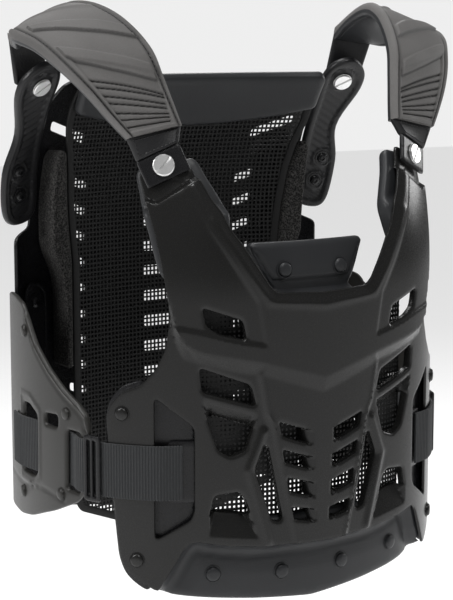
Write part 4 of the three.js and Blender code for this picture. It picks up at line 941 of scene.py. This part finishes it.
# The side wings: satin plastic that wraps from the back shell round the waist to the front. A raised
# lip follows the curved edge, and the strap slots have bevelled frames. A round-topped strip stands
# behind each wing where its lip begins.
wing_plastic = moulded_plastic("wing_plastic", (0.019, 0.0185, 0.017), (0.028, 0.027, 0.025), 0.33)
WING_START, WING_LENGTH = 118, 236
on_wing = sheet_map(WING_LENGTH, -254, 204, WING_START)
wing_front = [
    [0.4, 0], [0.496, 0.02], [0.55, 0.074], [0.635, 0.18], [0.746, 0.27], [0.852, 0.343], [0.94, 0.392],
    [0.985, 0.43], [1, 0.49], [0.98, 0.73], [0.965, 0.77], [0.92, 0.825], [0.765, 0.9], [0.57, 0.975],
    [0.45, 1]]
wing_half = on_wing([[0.14, 0.96], [0, 0.92], [0, 0.11], [0.14, 0.06], [0.3, 0], *wing_front, [0.3, 1]])
wing_slots = [rounded(on_wing(rows), 4) for rows in (
    [[0.49, 0.47], [0.56, 0.465], [0.635, 0.5], [0.632, 0.76], [0.6, 0.785], [0.48, 0.785]],
    [[0.7, 0.475], [0.8, 0.465], [0.8, 0.52], [0.705, 0.525]],
    [[0.86, 0.515], [0.945, 0.515], [0.94, 0.78], [0.855, 0.78]])]
wing_lip = on_wing(wing_front[2:9])
wing_crease = on_wing([[0.3, 0.83], [0.5, 0.85], [0.66, 0.815], [0.84, 0.835]])
wing_frame = on_wing([
    [0.465, 0.43], [0.565, 0.425], [0.66, 0.475], [0.655, 0.775], [0.61, 0.82], [0.46, 0.82]])


def wing_face(points, room):
    """The outer face, with the lip and its groove, the crease and the frame round the back slot."""
    half = folded(points)
    slot = np.min([reach(half, hole, True) for hole in wing_slots], axis=0)
    lip = reach(half, wing_lip)
    level = 4.4 + 1.3 * bell(lip - 2.6, 1.5) - 0.9 * bell(lip - 6.5, 1.2)
    level += ridge(half, wing_crease, -0.9, 1.3) + ridge(half, wing_frame, 0.9, 1.8, True)
    return level - edge_roll(slot, 3.2, 1.9) - edge_roll(room, 1.3, 1.2)


STRIP_MIDDLE, STRIP_RADIUS, STRIP_TOP, STRIP_HEIGHT = 148, 16, -250, 90
strip_half = np.array([
    *((STRIP_MIDDLE + STRIP_RADIUS * math.cos(a), STRIP_TOP - STRIP_RADIUS + STRIP_RADIUS * math.sin(a))
      for a in np.linspace(0, math.pi, 15)),
    (STRIP_MIDDLE - STRIP_RADIUS, STRIP_TOP - STRIP_HEIGHT),
    (STRIP_MIDDLE + STRIP_RADIUS, STRIP_TOP - STRIP_HEIGHT)])


def strip_face(points, room):
    """The face that looks forwards, with a welt inside its edge."""
    return -7.4 + edge_roll(room, 1.2, 1) + 0.8 * bell(room - 4, 1.0)


for side, shape in SIDES:
    wing = wall_sheet(
        f"wing_{side}", back_wall, rounded(shape(wing_half), 5, 3), [shape(slot) for slot in wing_slots],
        wing_face, plain_face(0.9, 0.9, -0.6), 2.8, wing_plastic, rims=(0.5, 1.4, 3.0), sharp=40)
    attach(wing, "root")
    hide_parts(f"side_wing_{side}")
    strip = wall_sheet(
        f"strip_{side}", back_wall, shape(strip_half), [], plain_face(-4.4, 1, 0.8), strip_face, 3,
        black_plastic, rims=(0.5, 1.3, 3, 4, 5))
    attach(strip, "root")
    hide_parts(f"wing_strip_{side}")

# The front tabs: flat plastic plates that stand in the pockets of the chest arms and carry the
# shoulder pads. The pad is built first, because the tab and its sleeve reach up to its end.
PAD_WIDTH, PAD_RISE = 86, 68
TAB_MIDDLE = 5.05


def at_tab(across, down):
    return front_wall.place(on_front([[across, down]]), TAB_MIDDLE)[0] / MM


arm_top = at_tab(0.67, 0.0275)
pad_front = arm_top + (4, 5, 26)
SEAT_GIRTH = 174  # where the rear sleeve lies on the bracket
pad_rear = bracket_wall.place([(SEAT_GIRTH, -48)], 0.5)[0] / MM + (7, 0, 29)
pad_rows = np.array([  # share from front to rear, and how far out and up, for the inner and outer edge
    [[-0.02, -0.29, 0.06], [0.02, 0.26, -0.13]], [[0.01, -0.275, 0.21], [0.07, 0.385, 0.05]],
    [[0.07, -0.235, 0.53], [0.145, 0.535, 0.29]], [[0.13, -0.2, 0.81], [0.26, 0.66, 0.47]],
    [[0.3, -0.165, 0.96], [0.385, 0.75, 0.57]], [[0.5, -0.14, 0.92], [0.53, 0.75, 0.51]],
    [[0.68, -0.14, 0.74], [0.68, 0.6, 0.35]], [[0.88, -0.19, 0.38], [0.85, 0.36, 0.08]],
    [[1.03, -0.255, 0], [0.975, 0.235, -0.015]]])
pad_edges = pad_front + (pad_rear - pad_front) * pad_rows[..., :1]
pad_edges = pad_edges + pad_rows[..., 1:2] * (PAD_WIDTH, 0, 0) + pad_rows[..., 2:] * (0, 0, PAD_RISE)
ROW_STEPS = 22
pad_inner, pad_outer = (smooth_curve(pad_edges[:, k], ROW_STEPS) for k in range(2))
pad_across = pad_outer - pad_inner
pad_up = np.cross(pad_across, np.gradient((pad_inner + pad_outer) / 2, axis=0))
pad_up /= np.linalg.norm(pad_up, axis=1)[:, None]
pad_up *= np.sign(pad_up[len(pad_up) // 2, 2])


def loft_piece(name, upper, lower, material, side, sharp=45):
    """A closed piece between two nets of points of the same size. side is -1 for the mirror image."""
    n, m = upper.shape[:2]
    index = np.arange(n * m).reshape(n, m)
    quads = np.stack([index[:-1, :-1], index[:-1, 1:], index[1:, 1:], index[1:, :-1]], -1).reshape(-1, 4)
    rim = np.concatenate([index[0, :-1], index[:-1, -1], index[-1, :0:-1], index[:0:-1, 0]])
    walls = np.stack([np.roll(rim, -1), rim, rim + n * m, np.roll(rim, -1) + n * m], 1)
    points = np.concatenate([upper.reshape(-1, 3), lower.reshape(-1, 3)]) * (side * MM, MM, MM)
    faces = [*quads.tolist(), *(quads[:, ::-1] + n * m).tolist(), *walls.tolist()]
    return new_piece(name, points, faces, material, sharp)


# The shoulder pads: moulded foam with a fine grain, bound round the edge with a soft rim and a sewn
# channel. Two raised bands cross it over the shoulder, and seven grooves fan out ahead of them.


def moulded_foam(name):
    nodes, place, wire = new_material(name, 0.66, Specular_IOR_Level=0.4)
    grain = nodes.noise(place, 1300.0, 3.0, Roughness=0.65)
    worn = nodes.product(grain, nodes.noise(place, 18.0, 2.0))
    tone = nodes.blend(worn, (0.075, 0.072, 0.070, 1), (0.21, 0.203, 0.198, 1))
    # Painted shade: a point attribute on the pad blends the colour towards near black in its grooves, its
    # sewn channel and under the edges of its bands.
    painted_crease_shade = nodes.add("ShaderNodeAttribute", attribute_name="painted_crease_shade").outputs["Fac"]
    crease_shaded_tone = nodes.blend(painted_crease_shade, tone, (0.007, 0.007, 0.007, 1))
    return wire(Base_Color=crease_shaded_tone, Normal=nodes.bump(grain, 0.6, 0.0003))


shoulder_foam = moulded_foam("shoulder_foam")
ROW_LENGTH, PAD_SPAN = 28, 80  # millimetres for one row along the pad and for the whole width


def on_pad(rows):
    """Turns rows along the pad and shares across it into millimetres."""
    return np.asarray(rows, float) * (ROW_LENGTH, PAD_SPAN)


pad_bands = [(on_pad(far), on_pad(near)) for far, near in (  # both edges of each raised band
    ([(4.95, 0.86), (4.5, 0.5), (4.2, 0.3), (3.85, 0.12)], [(4.5, 0.88), (3.9, 0.52), (3.35, 0.1)]),
    ([(3.6, 0.87), (3.2, 0.58), (2.85, 0.32), (2.55, 0.12)],
     [(3.15, 0.87), (2.95, 0.83), (2.55, 0.58), (2.1, 0.26), (1.95, 0.13)]))]
pad_ridges = [on_pad(rows) for rows in (
    [(6.5, 0.84), (5.9, 0.5), (4.95, 0.12)], [(7.2, 0.8), (6.7, 0.5), (5.9, 0.14)])]
pad_grooves = [on_pad(rows) for rows in (
    [(2.3, 0.85), (1.55, 0.12)], [(2.05, 0.85), (1.45, 0.12)], [(1.75, 0.85), (1.25, 0.14)],
    [(1.5, 0.85), (1.1, 0.15)], [(1.15, 0.86), (0.85, 0.16)], [(0.85, 0.87), (0.65, 0.17)],
    [(0.45, 0.88), (0.4, 0.19)])]
pad_field = on_pad([(3.1, 0.855), (1.5, 0.87), (0.2, 0.9), (0.2, 0.14), (1.5, 0.1), (2.2, 0.1)])


def pad_height(spots):
    """How high the moulded face stands over the middle of the pad."""
    spots = on_pad(spots)
    edge = np.minimum(spots[:, 1], PAD_SPAN - spots[:, 1])
    height = 6 + 2.1 * np.sin(slope(edge, 30) * math.pi / 2)
    for far, near in pad_bands:
        strip = inside(spots, np.concatenate([far, near[::-1]]))
        height += 2.4 * strip * (slope(reach(spots, far), 2.2) * slope(reach(spots, near), 1.0))
    for line in pad_ridges:
        height += ridge(spots, line, 1.3, 2.4)
    height -= 1.1 * inside(spots, pad_field) * slope(reach(spots, pad_field, True), 1.4)
    for line in pad_grooves:
        height += ridge(spots, line, -1.9, 1.05)
    height -= 1.6 * bell(edge - 6, 1.3)
    height += 1.1 * bell(edge - 2.8, 1.6)
    return height - edge_roll(edge, 4, 6)


def pad_painted_shade(spots):
    """How much painted shade a spot gets, from 0 to 1: the grooves, the sewn channel and the near edge of
    each raised band are painted darker, as shade would fall there.
    """
    spots = on_pad(spots)
    edge = np.minimum(spots[:, 1], PAD_SPAN - spots[:, 1])
    shade_amount = 0.75 * bell(edge - 6.2, 1.1)
    for line in pad_grooves:
        shade_amount = np.maximum(shade_amount, bell(reach(spots, line), 0.9))
    for _, near in pad_bands:
        shade_amount = np.maximum(shade_amount, 0.6 * bell(reach(spots, near), 1.1))
    return shade_amount


share = np.concatenate([
    [0, 0.002, 0.006, 0.012, 0.02, 0.03, 0.042], np.linspace(0.055, 0.945, 72),
    [0.958, 0.97, 0.98, 0.988, 0.994, 0.998, 1]])
rows = np.arange(len(pad_inner)) / ROW_STEPS
spots = np.stack(np.meshgrid(rows, share, indexing="ij"), -1)
middle = pad_inner[:, None] + pad_across[:, None] * share[None, :, None]
upper = middle + pad_up[:, None] * pad_height(spots.reshape(-1, 2)).reshape(spots.shape[:2])[..., None]
# Painted shade for the pad's upper face: darker in the grooves, the sewn channel and under the band edges.
painted_crease_shade = pad_painted_shade(spots.reshape(-1, 2))
edge = np.minimum(share, 1 - share) * PAD_SPAN
fall = edge_roll(edge, 4, 4)
welt = 0.7 * bell(edge - 9, 0.9)
WAYS = {"right": -1, "left": 1}


def under_pad(level):
    """The net of points at a level under the middle of the pad, given for each share across."""
    return middle + pad_up[:, None] * level[None, :, None]


for side, way in WAYS.items():
    pad = loft_piece(f"shoulder_pad_{side}_foam", upper, under_pad(-4.6 + fall), shoulder_foam, way)
    # The painted shade goes on the points of the upper face, and none on the lower face.
    values = pad.data.attributes.new("painted_crease_shade", "FLOAT", "POINT").data
    values.foreach_set("value", np.append(painted_crease_shade, np.zeros_like(painted_crease_shade)))
    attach(pad, "root")
    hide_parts(f"shoulder_pad_{side}")
    lining = loft_piece(
        f"shoulder_lining_{side}", under_pad(-4.7 + fall), under_pad(-6 + fall + welt), vinyl, way)
    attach(lining, "root")

# Sleeves of sewn black leather join each pad to its tab in front and to its bracket behind. Each is a flat
# tube that narrows a little, with rolled sides.


STRAP_STEPS = 14


def strap_piece(name, stations, thickness, material, way):
    """A flat strap through stations of inner edge, outer edge and the way its face looks."""
    share = np.concatenate([[0, 0.01, 0.03, 0.06], np.linspace(0.1, 0.9, 17), [0.94, 0.97, 0.99, 1]])
    t = np.linspace(0, len(stations) - 1, (len(stations) - 1) * STRAP_STEPS + 1)
    inner, outer, up = (
        np.stack([np.interp(t, range(len(stations)), [s[part][k] for s in stations]) for k in range(3)], 1)
        for part in range(3))
    up /= np.linalg.norm(up, axis=1)[:, None]
    edge = np.minimum(share, 1 - share) * np.linalg.norm(outer - inner, axis=1).mean()
    end = np.minimum(t, t[-1] - t) / t[-1]
    flat = inner[:, None] + (outer - inner)[:, None] * share[None, :, None]
    half = (thickness / 2 - edge_roll(edge, thickness * 0.5, thickness * 0.5))[None, :]
    rise = up[:, None] * (half - 0.5 * bell(end, 0.05)[:, None])[..., None]
    return loft_piece(name, flat + rise, flat - rise, material, way)


sleeve_leather = leather("sleeve_leather", (0.006, 0.006, 0.007), (0.014, 0.014, 0.015), 0.5, 520.0, 0.0005)


def face_of(inner, outer, along):
    up = np.cross(np.subtract(outer, inner), along)
    return up / np.linalg.norm(up)


tab_foot = (at_tab(0.55, 0.043), at_tab(0.74, 0.082))
half_tab = (tab_foot[1] - tab_foot[0]) / 2
sleeve_foot = arm_top + (pad_front - arm_top) * 0.3
tab_up = -face_of(*tab_foot, sleeve_foot - (tab_foot[0] + tab_foot[1]) / 2)
tab_up *= -np.sign(tab_up[1])
front_stations = [
    (pad_inner[0], pad_outer[0], pad_up[0]),
    (sleeve_foot - half_tab, sleeve_foot + half_tab, tab_up)]
tab_stations = [
    (sleeve_foot - half_tab - (0, 0, 0.6), sleeve_foot + half_tab - (0, 0, 0.6), tab_up), (*tab_foot, tab_up)]
seat = bracket_wall.place([(SEAT_GIRTH, -60)], 0.5)[0] / MM
half_seat = np.array((17, -5.1, 0))
rear_stations = [
    (pad_inner[-1], pad_outer[-1], pad_up[-1]),
    (seat - half_seat, seat + half_seat, bracket_wall.normal((SEAT_GIRTH, -60)))]
for side, way in WAYS.items():
    for name, stations, thickness, material, slot, node in (
            ("front_sleeve", front_stations, 8, sleeve_leather, "vinyl", "front_sleeve"),
            ("rear_sleeve", rear_stations, 8, sleeve_leather, "vinyl", "rear_sleeve"),
            ("tab", tab_stations, 4.5, black_plastic, "black_plastic", "front_tab")):
        piece = strap_piece(f"{name}_{side}_made", stations, thickness, material, way)
        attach(piece, "root")
        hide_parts(f"{node}_{side}")

# Rivets, screws and stitches all repeat, so each is modelled once and set on points. A point carries
# the turn of its copy.


def scatter_tree():
    """Sets a copy of the shape on each point of a mesh."""
    tree, nodes, sizes, out = node_tree("set_on_points", {
        "Shape": "NodeSocketObject", "Size": "NodeSocketFloat", "Material": "NodeSocketMaterial"})
    shape = nodes.add("GeometryNodeObjectInfo", {"Object": sizes["Shape"]})
    turn = nodes.add("GeometryNodeInputNamedAttribute", {"Name": "turn"}, data_type="FLOAT_VECTOR")
    placed = nodes.add("GeometryNodeInstanceOnPoints", {
        "Points": sizes["Geometry"], "Instance": shape.outputs["Geometry"],
        "Rotation": turn.outputs["Attribute"], "Scale": sizes["Size"]})
    real = nodes.add("GeometryNodeRealizeInstances", {"Geometry": placed.outputs["Instances"]})
    painted = nodes.add("GeometryNodeSetMaterial", {
        "Geometry": real.outputs["Geometry"], "Material": sizes["Material"]})
    tree.links.new(painted.outputs["Geometry"], out.inputs["Geometry"])
    return tree


scatter_nodes = scatter_tree()


def set_on_points(name, shape, spots, material, size=1.0, nodes=()):
    """Sets a copy of a shape on each spot: its place in metres, where its Z points and where its X points."""
    mesh = bpy.data.meshes.new(f"{name}_points")
    mesh.from_pydata([tuple(spot[0]) for spot in spots], [], [])
    turns = mesh.attributes.new("turn", "FLOAT_VECTOR", "POINT")
    for item, (_, z, x) in zip(turns.data, spots):
        z = Vector(z).normalized()
        y = z.cross(Vector(x)).normalized()
        item.vector = tuple(Matrix((y.cross(z), y, z)).transposed().to_euler())
    piece = run_tree(name, mesh, scatter_nodes, {"Shape": shape, "Size": size, "Material": material})
    piece.data.shade_smooth()
    piece.data.set_sharp_from_angle(angle=math.radians(40))
    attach(piece, "root")
    for node in nodes:
        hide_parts(node)
    return piece


def turned_shape(name, profile, sides):
    """A small closed shape turned round Z from rows of radius and height in millimetres."""
    points, faces = [], []
    for radius, height in profile:
        for i in range(sides):
            a = 2 * math.pi * i / sides
            points.append((radius * math.cos(a) * MM, radius * math.sin(a) * MM, height * MM))
    for row in range(len(profile) - 1):
        for i in range(sides):
            j = (i + 1) % sides
            faces.append((row * sides + i, row * sides + j, (row + 1) * sides + j, (row + 1) * sides + i))
    faces += [tuple(range(sides))[::-1], tuple(range((len(profile) - 1) * sides, len(profile) * sides))]
    mesh = bpy.data.meshes.new(name)
    mesh.from_pydata(points, [], faces)
    return bpy.data.objects.new(name, mesh)


rivet_shape = turned_shape("rivet_shape", [
    (7.4, 0), (7.4, 0.5), (6.8, 0.6), (6.6, 0.15), (6.2, 0.15), (6.1, 1.4), (5.6, 2.3), (4.4, 2.9),
    (2.8, 3.2), (1.0, 3.3)], 20)
bolt_shape = turned_shape("bolt_shape", [
    (7.6, 0), (7.6, 0.8), (5.6, 0.8), (5.4, 1.8), (4.6, 2.9), (3.0, 3.6), (2.2, 3.7), (2.1, 2.2),
    (0.3, 2.2)], 18)
CROWN_RADIUS, SLOT_HALF, ARC_POINTS = 9, 1.1, 19


def screw_shape():
    """A slotted screw: a round foot and two halves of a flat crown with the slot between them."""
    foot = turned_shape("screw_foot", [(8.6, 0), (9.3, 0.3), (9.3, 0.8), (9.0, 1.0)], 36)
    points = [tuple(v.co) for v in foot.data.vertices]
    faces = [tuple(p.vertices) for p in foot.data.polygons]
    first = math.asin(SLOT_HALF / CROWN_RADIUS)
    angles = np.linspace(first, math.pi - first, ARC_POINTS)
    for way in (-1, 1):
        rings = []
        for height, radius in ((0.95, CROWN_RADIUS), (2.2, CROWN_RADIUS), (2.8, CROWN_RADIUS - 0.6)):
            rings.append([len(points) + i for i in range(ARC_POINTS)])
            points += [
                (radius * math.cos(a) * MM, way * max(radius * math.sin(a), SLOT_HALF) * MM, height * MM)
                for a in angles]
        for low, high in zip(rings, rings[1:]):
            for i in range(ARC_POINTS):
                j = (i + 1) % ARC_POINTS
                faces.append((low[i], low[j], high[j], high[i])[::way])
        faces.append(tuple(rings[2])[::way])
        faces.append(tuple(rings[0])[::-way])
    mesh = bpy.data.meshes.new("screw_shape")
    mesh.from_pydata(points, [], faces)
    return bpy.data.objects.new("screw_shape", mesh)


def polished_steel(name):
    """Bright plated steel with fine turning marks."""
    nodes, place, wire = new_material(name, 0.4, Metallic=1.0)
    marks = nodes.noise(place, 900.0, 2.0)
    gloss = nodes.add("ShaderNodeMapRange", {"Value": marks, "To Min": 0.34, "To Max": 0.44})
    tone = nodes.blend(marks, (0.84, 0.84, 0.83, 1), (0.95, 0.95, 0.95, 1))
    return wire(Base_Color=tone, Roughness=gloss.outputs["Result"], Normal=nodes.bump(marks, 0.08, 0.0001))


steel = polished_steel("steel")
slotted = screw_shape()


def both_sides(spots):
    """Spots for both sides from those on the wearer's left."""
    flip = np.array((-1, 1, 1))
    return [*spots, *((np.array(p) * flip, np.array(z) * flip, x) for p, z, x in spots)]


def on_wall(wall, rows, proud, way=1):
    """Spots on a wall, with heads that look out of it, or into it when way is -1."""
    rows = np.asarray(rows, float)
    return [(wall.place([row], proud)[0], np.array(wall.normal(row)) * way, (0.4, 0, 1)) for row in rows]


def named(*kinds):
    return [f"{kind}_{side}" for kind in kinds for side in WAYS]


def sewn(line, ups, pitch=4.2):
    """Stitches along a line of points in millimetres, each with the way its face looks."""
    far = np.concatenate([[0], np.cumsum(np.linalg.norm(np.diff(line, axis=0), axis=1))])
    at = np.arange(pitch / 2, far[-1], pitch)
    here, ahead, up = (np.stack([np.interp(d, far, v[:, k]) for k in range(3)], 1)
                       for d, v in ((at, line), (at + 1, line), (at, ups)))
    return [(p * MM, q - p, u) for p, q, u in zip(here, ahead, up) if np.linalg.norm(q - p) > 0.2]


stitch_shape = turned_shape("stitch_shape", [(0.2, -1.6), (0.5, -1.2), (0.5, 1.2), (0.2, 1.6)], 6)
seams = []
CHANNEL = 6.1 / PAD_SPAN
for column in (CHANNEL, 1 - CHANNEL):
    height = pad_height(np.stack([rows, np.full_like(rows, column)], 1))
    line = pad_inner + pad_across * column + pad_up * height[:, None]
    seams += sewn(line[4:-4], pad_up[4:-4])
corners = [(0.09, 0.16), (0.91, 0.16), (0.91, 0.86), (0.09, 0.86), (0.09, 0.16)]
for (a, b, up_a), (c, d, up_b) in (front_stations, rear_stations):
    line = np.array([(a + (b - a) * u) * (1 - v) + (c + (d - c) * u) * v for u, v in corners])
    ups = np.array([np.asarray(up_a) * (1 - v) + np.asarray(up_b) * v for u, v in corners])
    seams += sewn(line + ups * 4.05, ups, 3.6)
set_on_points("stitches", stitch_shape, both_sides(seams), black_plastic)

tab_screw = (np.mean([tab_stations[0][:2], tab_stations[1][:2]], axis=(0, 1)) + tab_up * 2.3) * MM
rear_screw = on_wall(bracket_wall, on_bracket([[0, 0.13]]), -11.5, -1)[0]
set_on_points(
    "slotted_screws", slotted, both_sides([(tab_screw, tab_up, (1, 0, 0.9)), (*rear_screw[:2], (1, 0, 1.0))]),
    steel, nodes=named("front_screw", "rear_screw"))
set_on_points(
    "bracket_bolts", bolt_shape, both_sides(on_wall(bracket_wall, bracket_bolts[:2], -10.9, -1)),
    black_plastic, 0.95, named("bracket_rivet_top", "bracket_rivet_low"))
flange_spots = on_wall(front_wall, on_front([[0.91, 0.56], [0.846, 0.88]]), 0.1)
set_on_points(
    "flange_rivets", rivet_shape, both_sides(flange_spots),
    shell_plastic, 0.95, named("flange_rivet_top", "flange_rivet_low"))
pad_spots = on_wall(front_wall, on_front([[0.15, 0.2575]]), -13.6)
pad_spots += on_wall(front_wall, on_front([[0.5, 0.92], [0.165, 0.93]]), -12.8)
set_on_points(
    "pad_rivets", rivet_shape, both_sides(pad_spots),
    vinyl, 1.05, named("chest_rivet", "belly_rivet_outer", "belly_rivet_inner"))
wing_spots = on_wall(back_wall, on_wing([[0.86, 0.446], [0.82, 0.81], [0.52, 0.14], [0.48, 0.885]]), 4.3)
set_on_points(
    "wing_rivets", rivet_shape, both_sides(wing_spots),
    wing_plastic, 0.85, named("wing_rivet_top", "wing_rivet_low", "wing_rivet_back"))
set_on_points(
    "strip_rivets", bolt_shape, both_sides(on_wall(back_wall, [(STRIP_MIDDLE, -269)], -7.3, -1)),
    black_plastic, 1.0, named("strip_rivet"))

# The side webbing: ribbed nylon band, sewn round an anchor plate behind the chest shell, led over the
# flange, through the front slot of the wing and out of its back slot. A slide frame sits on it.


def woven(name):
    nodes, place, wire = new_material(name, 0.7, Specular_IOR_Level=0.3, Sheen_Weight=0.2)
    weave = nodes.add("ShaderNodeTexWave", {
        "Vector": place, "Scale": 420.0, "Distortion": 1.2, "Detail": 2.0}, bands_direction="Z")
    mixed = nodes.product(weave.outputs["Fac"], nodes.noise(place, 700.0, 4.0))
    tone = nodes.blend(mixed, (0.012, 0.013, 0.014, 1), (0.05, 0.053, 0.057, 1))
    return wire(Base_Color=tone, Normal=nodes.bump(mixed, 0.7, 0.0004))


webbing_nylon = woven("webbing")
WEBBING_LEVEL, WEBBING_WIDTH = -386, 48
front_stops = [(0.645, -2.1), (0.7, -0.2), (0.745, 2.1), (0.8, 2.1), (0.86, 2.1), (0.92, 2.1), (0.985, 2.1)]
wing_stops = [
    (0.975, 6.5), (0.943, 6.5), (0.868, -1.4), (0.78, -1.4), (0.7, -1.4), (0.64, -1.4),
    (0.5, 6.5), (0.44, 6.5), (0.39, 6.5)]
front_girths = [(across * FRONT_GIRTH, proud) for across, proud in front_stops]
wing_girths = [(WING_START + along * WING_LENGTH, proud) for along, proud in wing_stops]
stops = np.array([
    wall.place([(girth, WEBBING_LEVEL)], proud)[0] / MM
    for wall, girths in ((front_wall, front_girths), (back_wall, wing_girths)) for girth, proud in girths])
path = stops
for _ in range(2):  # each round cuts the corners of the path
    cuts = np.stack([path[:-1] * 0.8 + path[1:] * 0.2, path[:-1] * 0.2 + path[1:] * 0.8], 1)
    path = np.concatenate([path[:1], cuts.reshape(-1, 3), path[-1:]])
length = np.concatenate([[0], np.cumsum(np.linalg.norm(np.diff(path, axis=0), axis=1))])
RIB_PITCH = 2.6


def along_path(distance):
    return np.stack([np.interp(distance, length, path[:, k]) for k in range(3)], -1)


fine = along_path(np.arange(0, length[-1], 2.0))
heading = np.gradient(fine, axis=0)
heading /= np.linalg.norm(heading, axis=1)[:, None]
outwards = np.stack([heading[:, 1], -heading[:, 0], np.zeros(len(heading))], 1)
outwards *= np.sign(outwards[4] @ np.array((0.5, -1, 0)))
tall = np.zeros((9, 3))
tall[:, 2] = np.linspace(-0.5, 0.5, 9) * (WEBBING_WIDTH - 1.0)
band = fine[:, None] + tall[None]
rib = turned_shape("rib_shape", [(0.5, -23.9), (1.25, -23.5), (1.25, 23.5), (0.5, 23.9)], 8)
rib_at = np.arange(RIB_PITCH / 2, length[-1], RIB_PITCH)
rib_way = along_path(np.minimum(rib_at + 0.5, length[-1])) - along_path(np.maximum(rib_at - 0.5, 0))
proud_half = outwards[:, None] * 0.7
for side, way in WAYS.items():
    flip = np.array((way, 1, 1))
    core = loft_piece(f"webbing_core_{side}", band + proud_half, band - proud_half, webbing_nylon, way)
    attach(core, "root")
    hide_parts(f"side_webbing_{side}")
    rib_spots = [(p * flip * MM, (0, 0, 1), h * flip) for p, h in zip(along_path(rib_at), rib_way)]
    set_on_points(f"webbing_ribs_{side}", rib, rib_spots, webbing_nylon)

anchor_half = on_front([[0.55, 0.6175], [0.71, 0.6175], [0.71, 0.7525], [0.55, 0.7525]])
slide_from, slide_to = stops[6], stops[7]
slide_way = (slide_to - slide_from) / np.linalg.norm(slide_to - slide_from)
slide_out = np.array((slide_way[1], -slide_way[0], 0))
slide_out *= np.sign(slide_out[0])
slide_foot = (slide_from + slide_to) / 2 + slide_out * 1.6


class FlatFace:
    """A flat face through a point, for the slide: points are along the webbing and up."""

    def __init__(self, foot, along, out, way):
        self.foot, self.along, self.out, self.flip = foot, along, out, np.array((way, 1, 1))

    def place(self, points, proud):
        points = np.asarray(points, float).reshape(-1, 2)
        spot = self.foot + points[:, :1] * self.along + points[:, 1:] * (0, 0, 1)
        return (spot + np.broadcast_to(proud, len(points))[:, None] * self.out) * self.flip * MM


def upright(low, high, half_height):
    return [(low, -half_height), (high, -half_height), (high, half_height), (low, half_height)]


slide_outline = rounded(upright(-9, 9, 29), 3)
slide_holes = [rounded(upright(*ends, 25), 1, 2) for ends in ((-5.2, -1.4), (1.4, 5.2))]
for side, shape in SIDES:
    anchor = wall_sheet(
        f"anchor_{side}", front_wall, rounded(shape(anchor_half), 4, 3), [],
        plain_face(-3.9, 1.2, 1.0), plain_face(-6.9, 1, -0.8), 5, black_plastic, rims=(0.4, 1.2))
    slide = wall_sheet(
        f"slide_{side}", FlatFace(slide_foot, slide_way, slide_out, WAYS[side]), slide_outline, slide_holes,
        plain_face(3, 1.2, 1.1), plain_face(0, 0.8, -0.6), 2.5, black_plastic, rims=(0.4, 1.1))
    for piece, node in ((anchor, "strap_anchor"), (slide, "strap_slide")):
        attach(piece, "root")
        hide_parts(f"{node}_{side}")
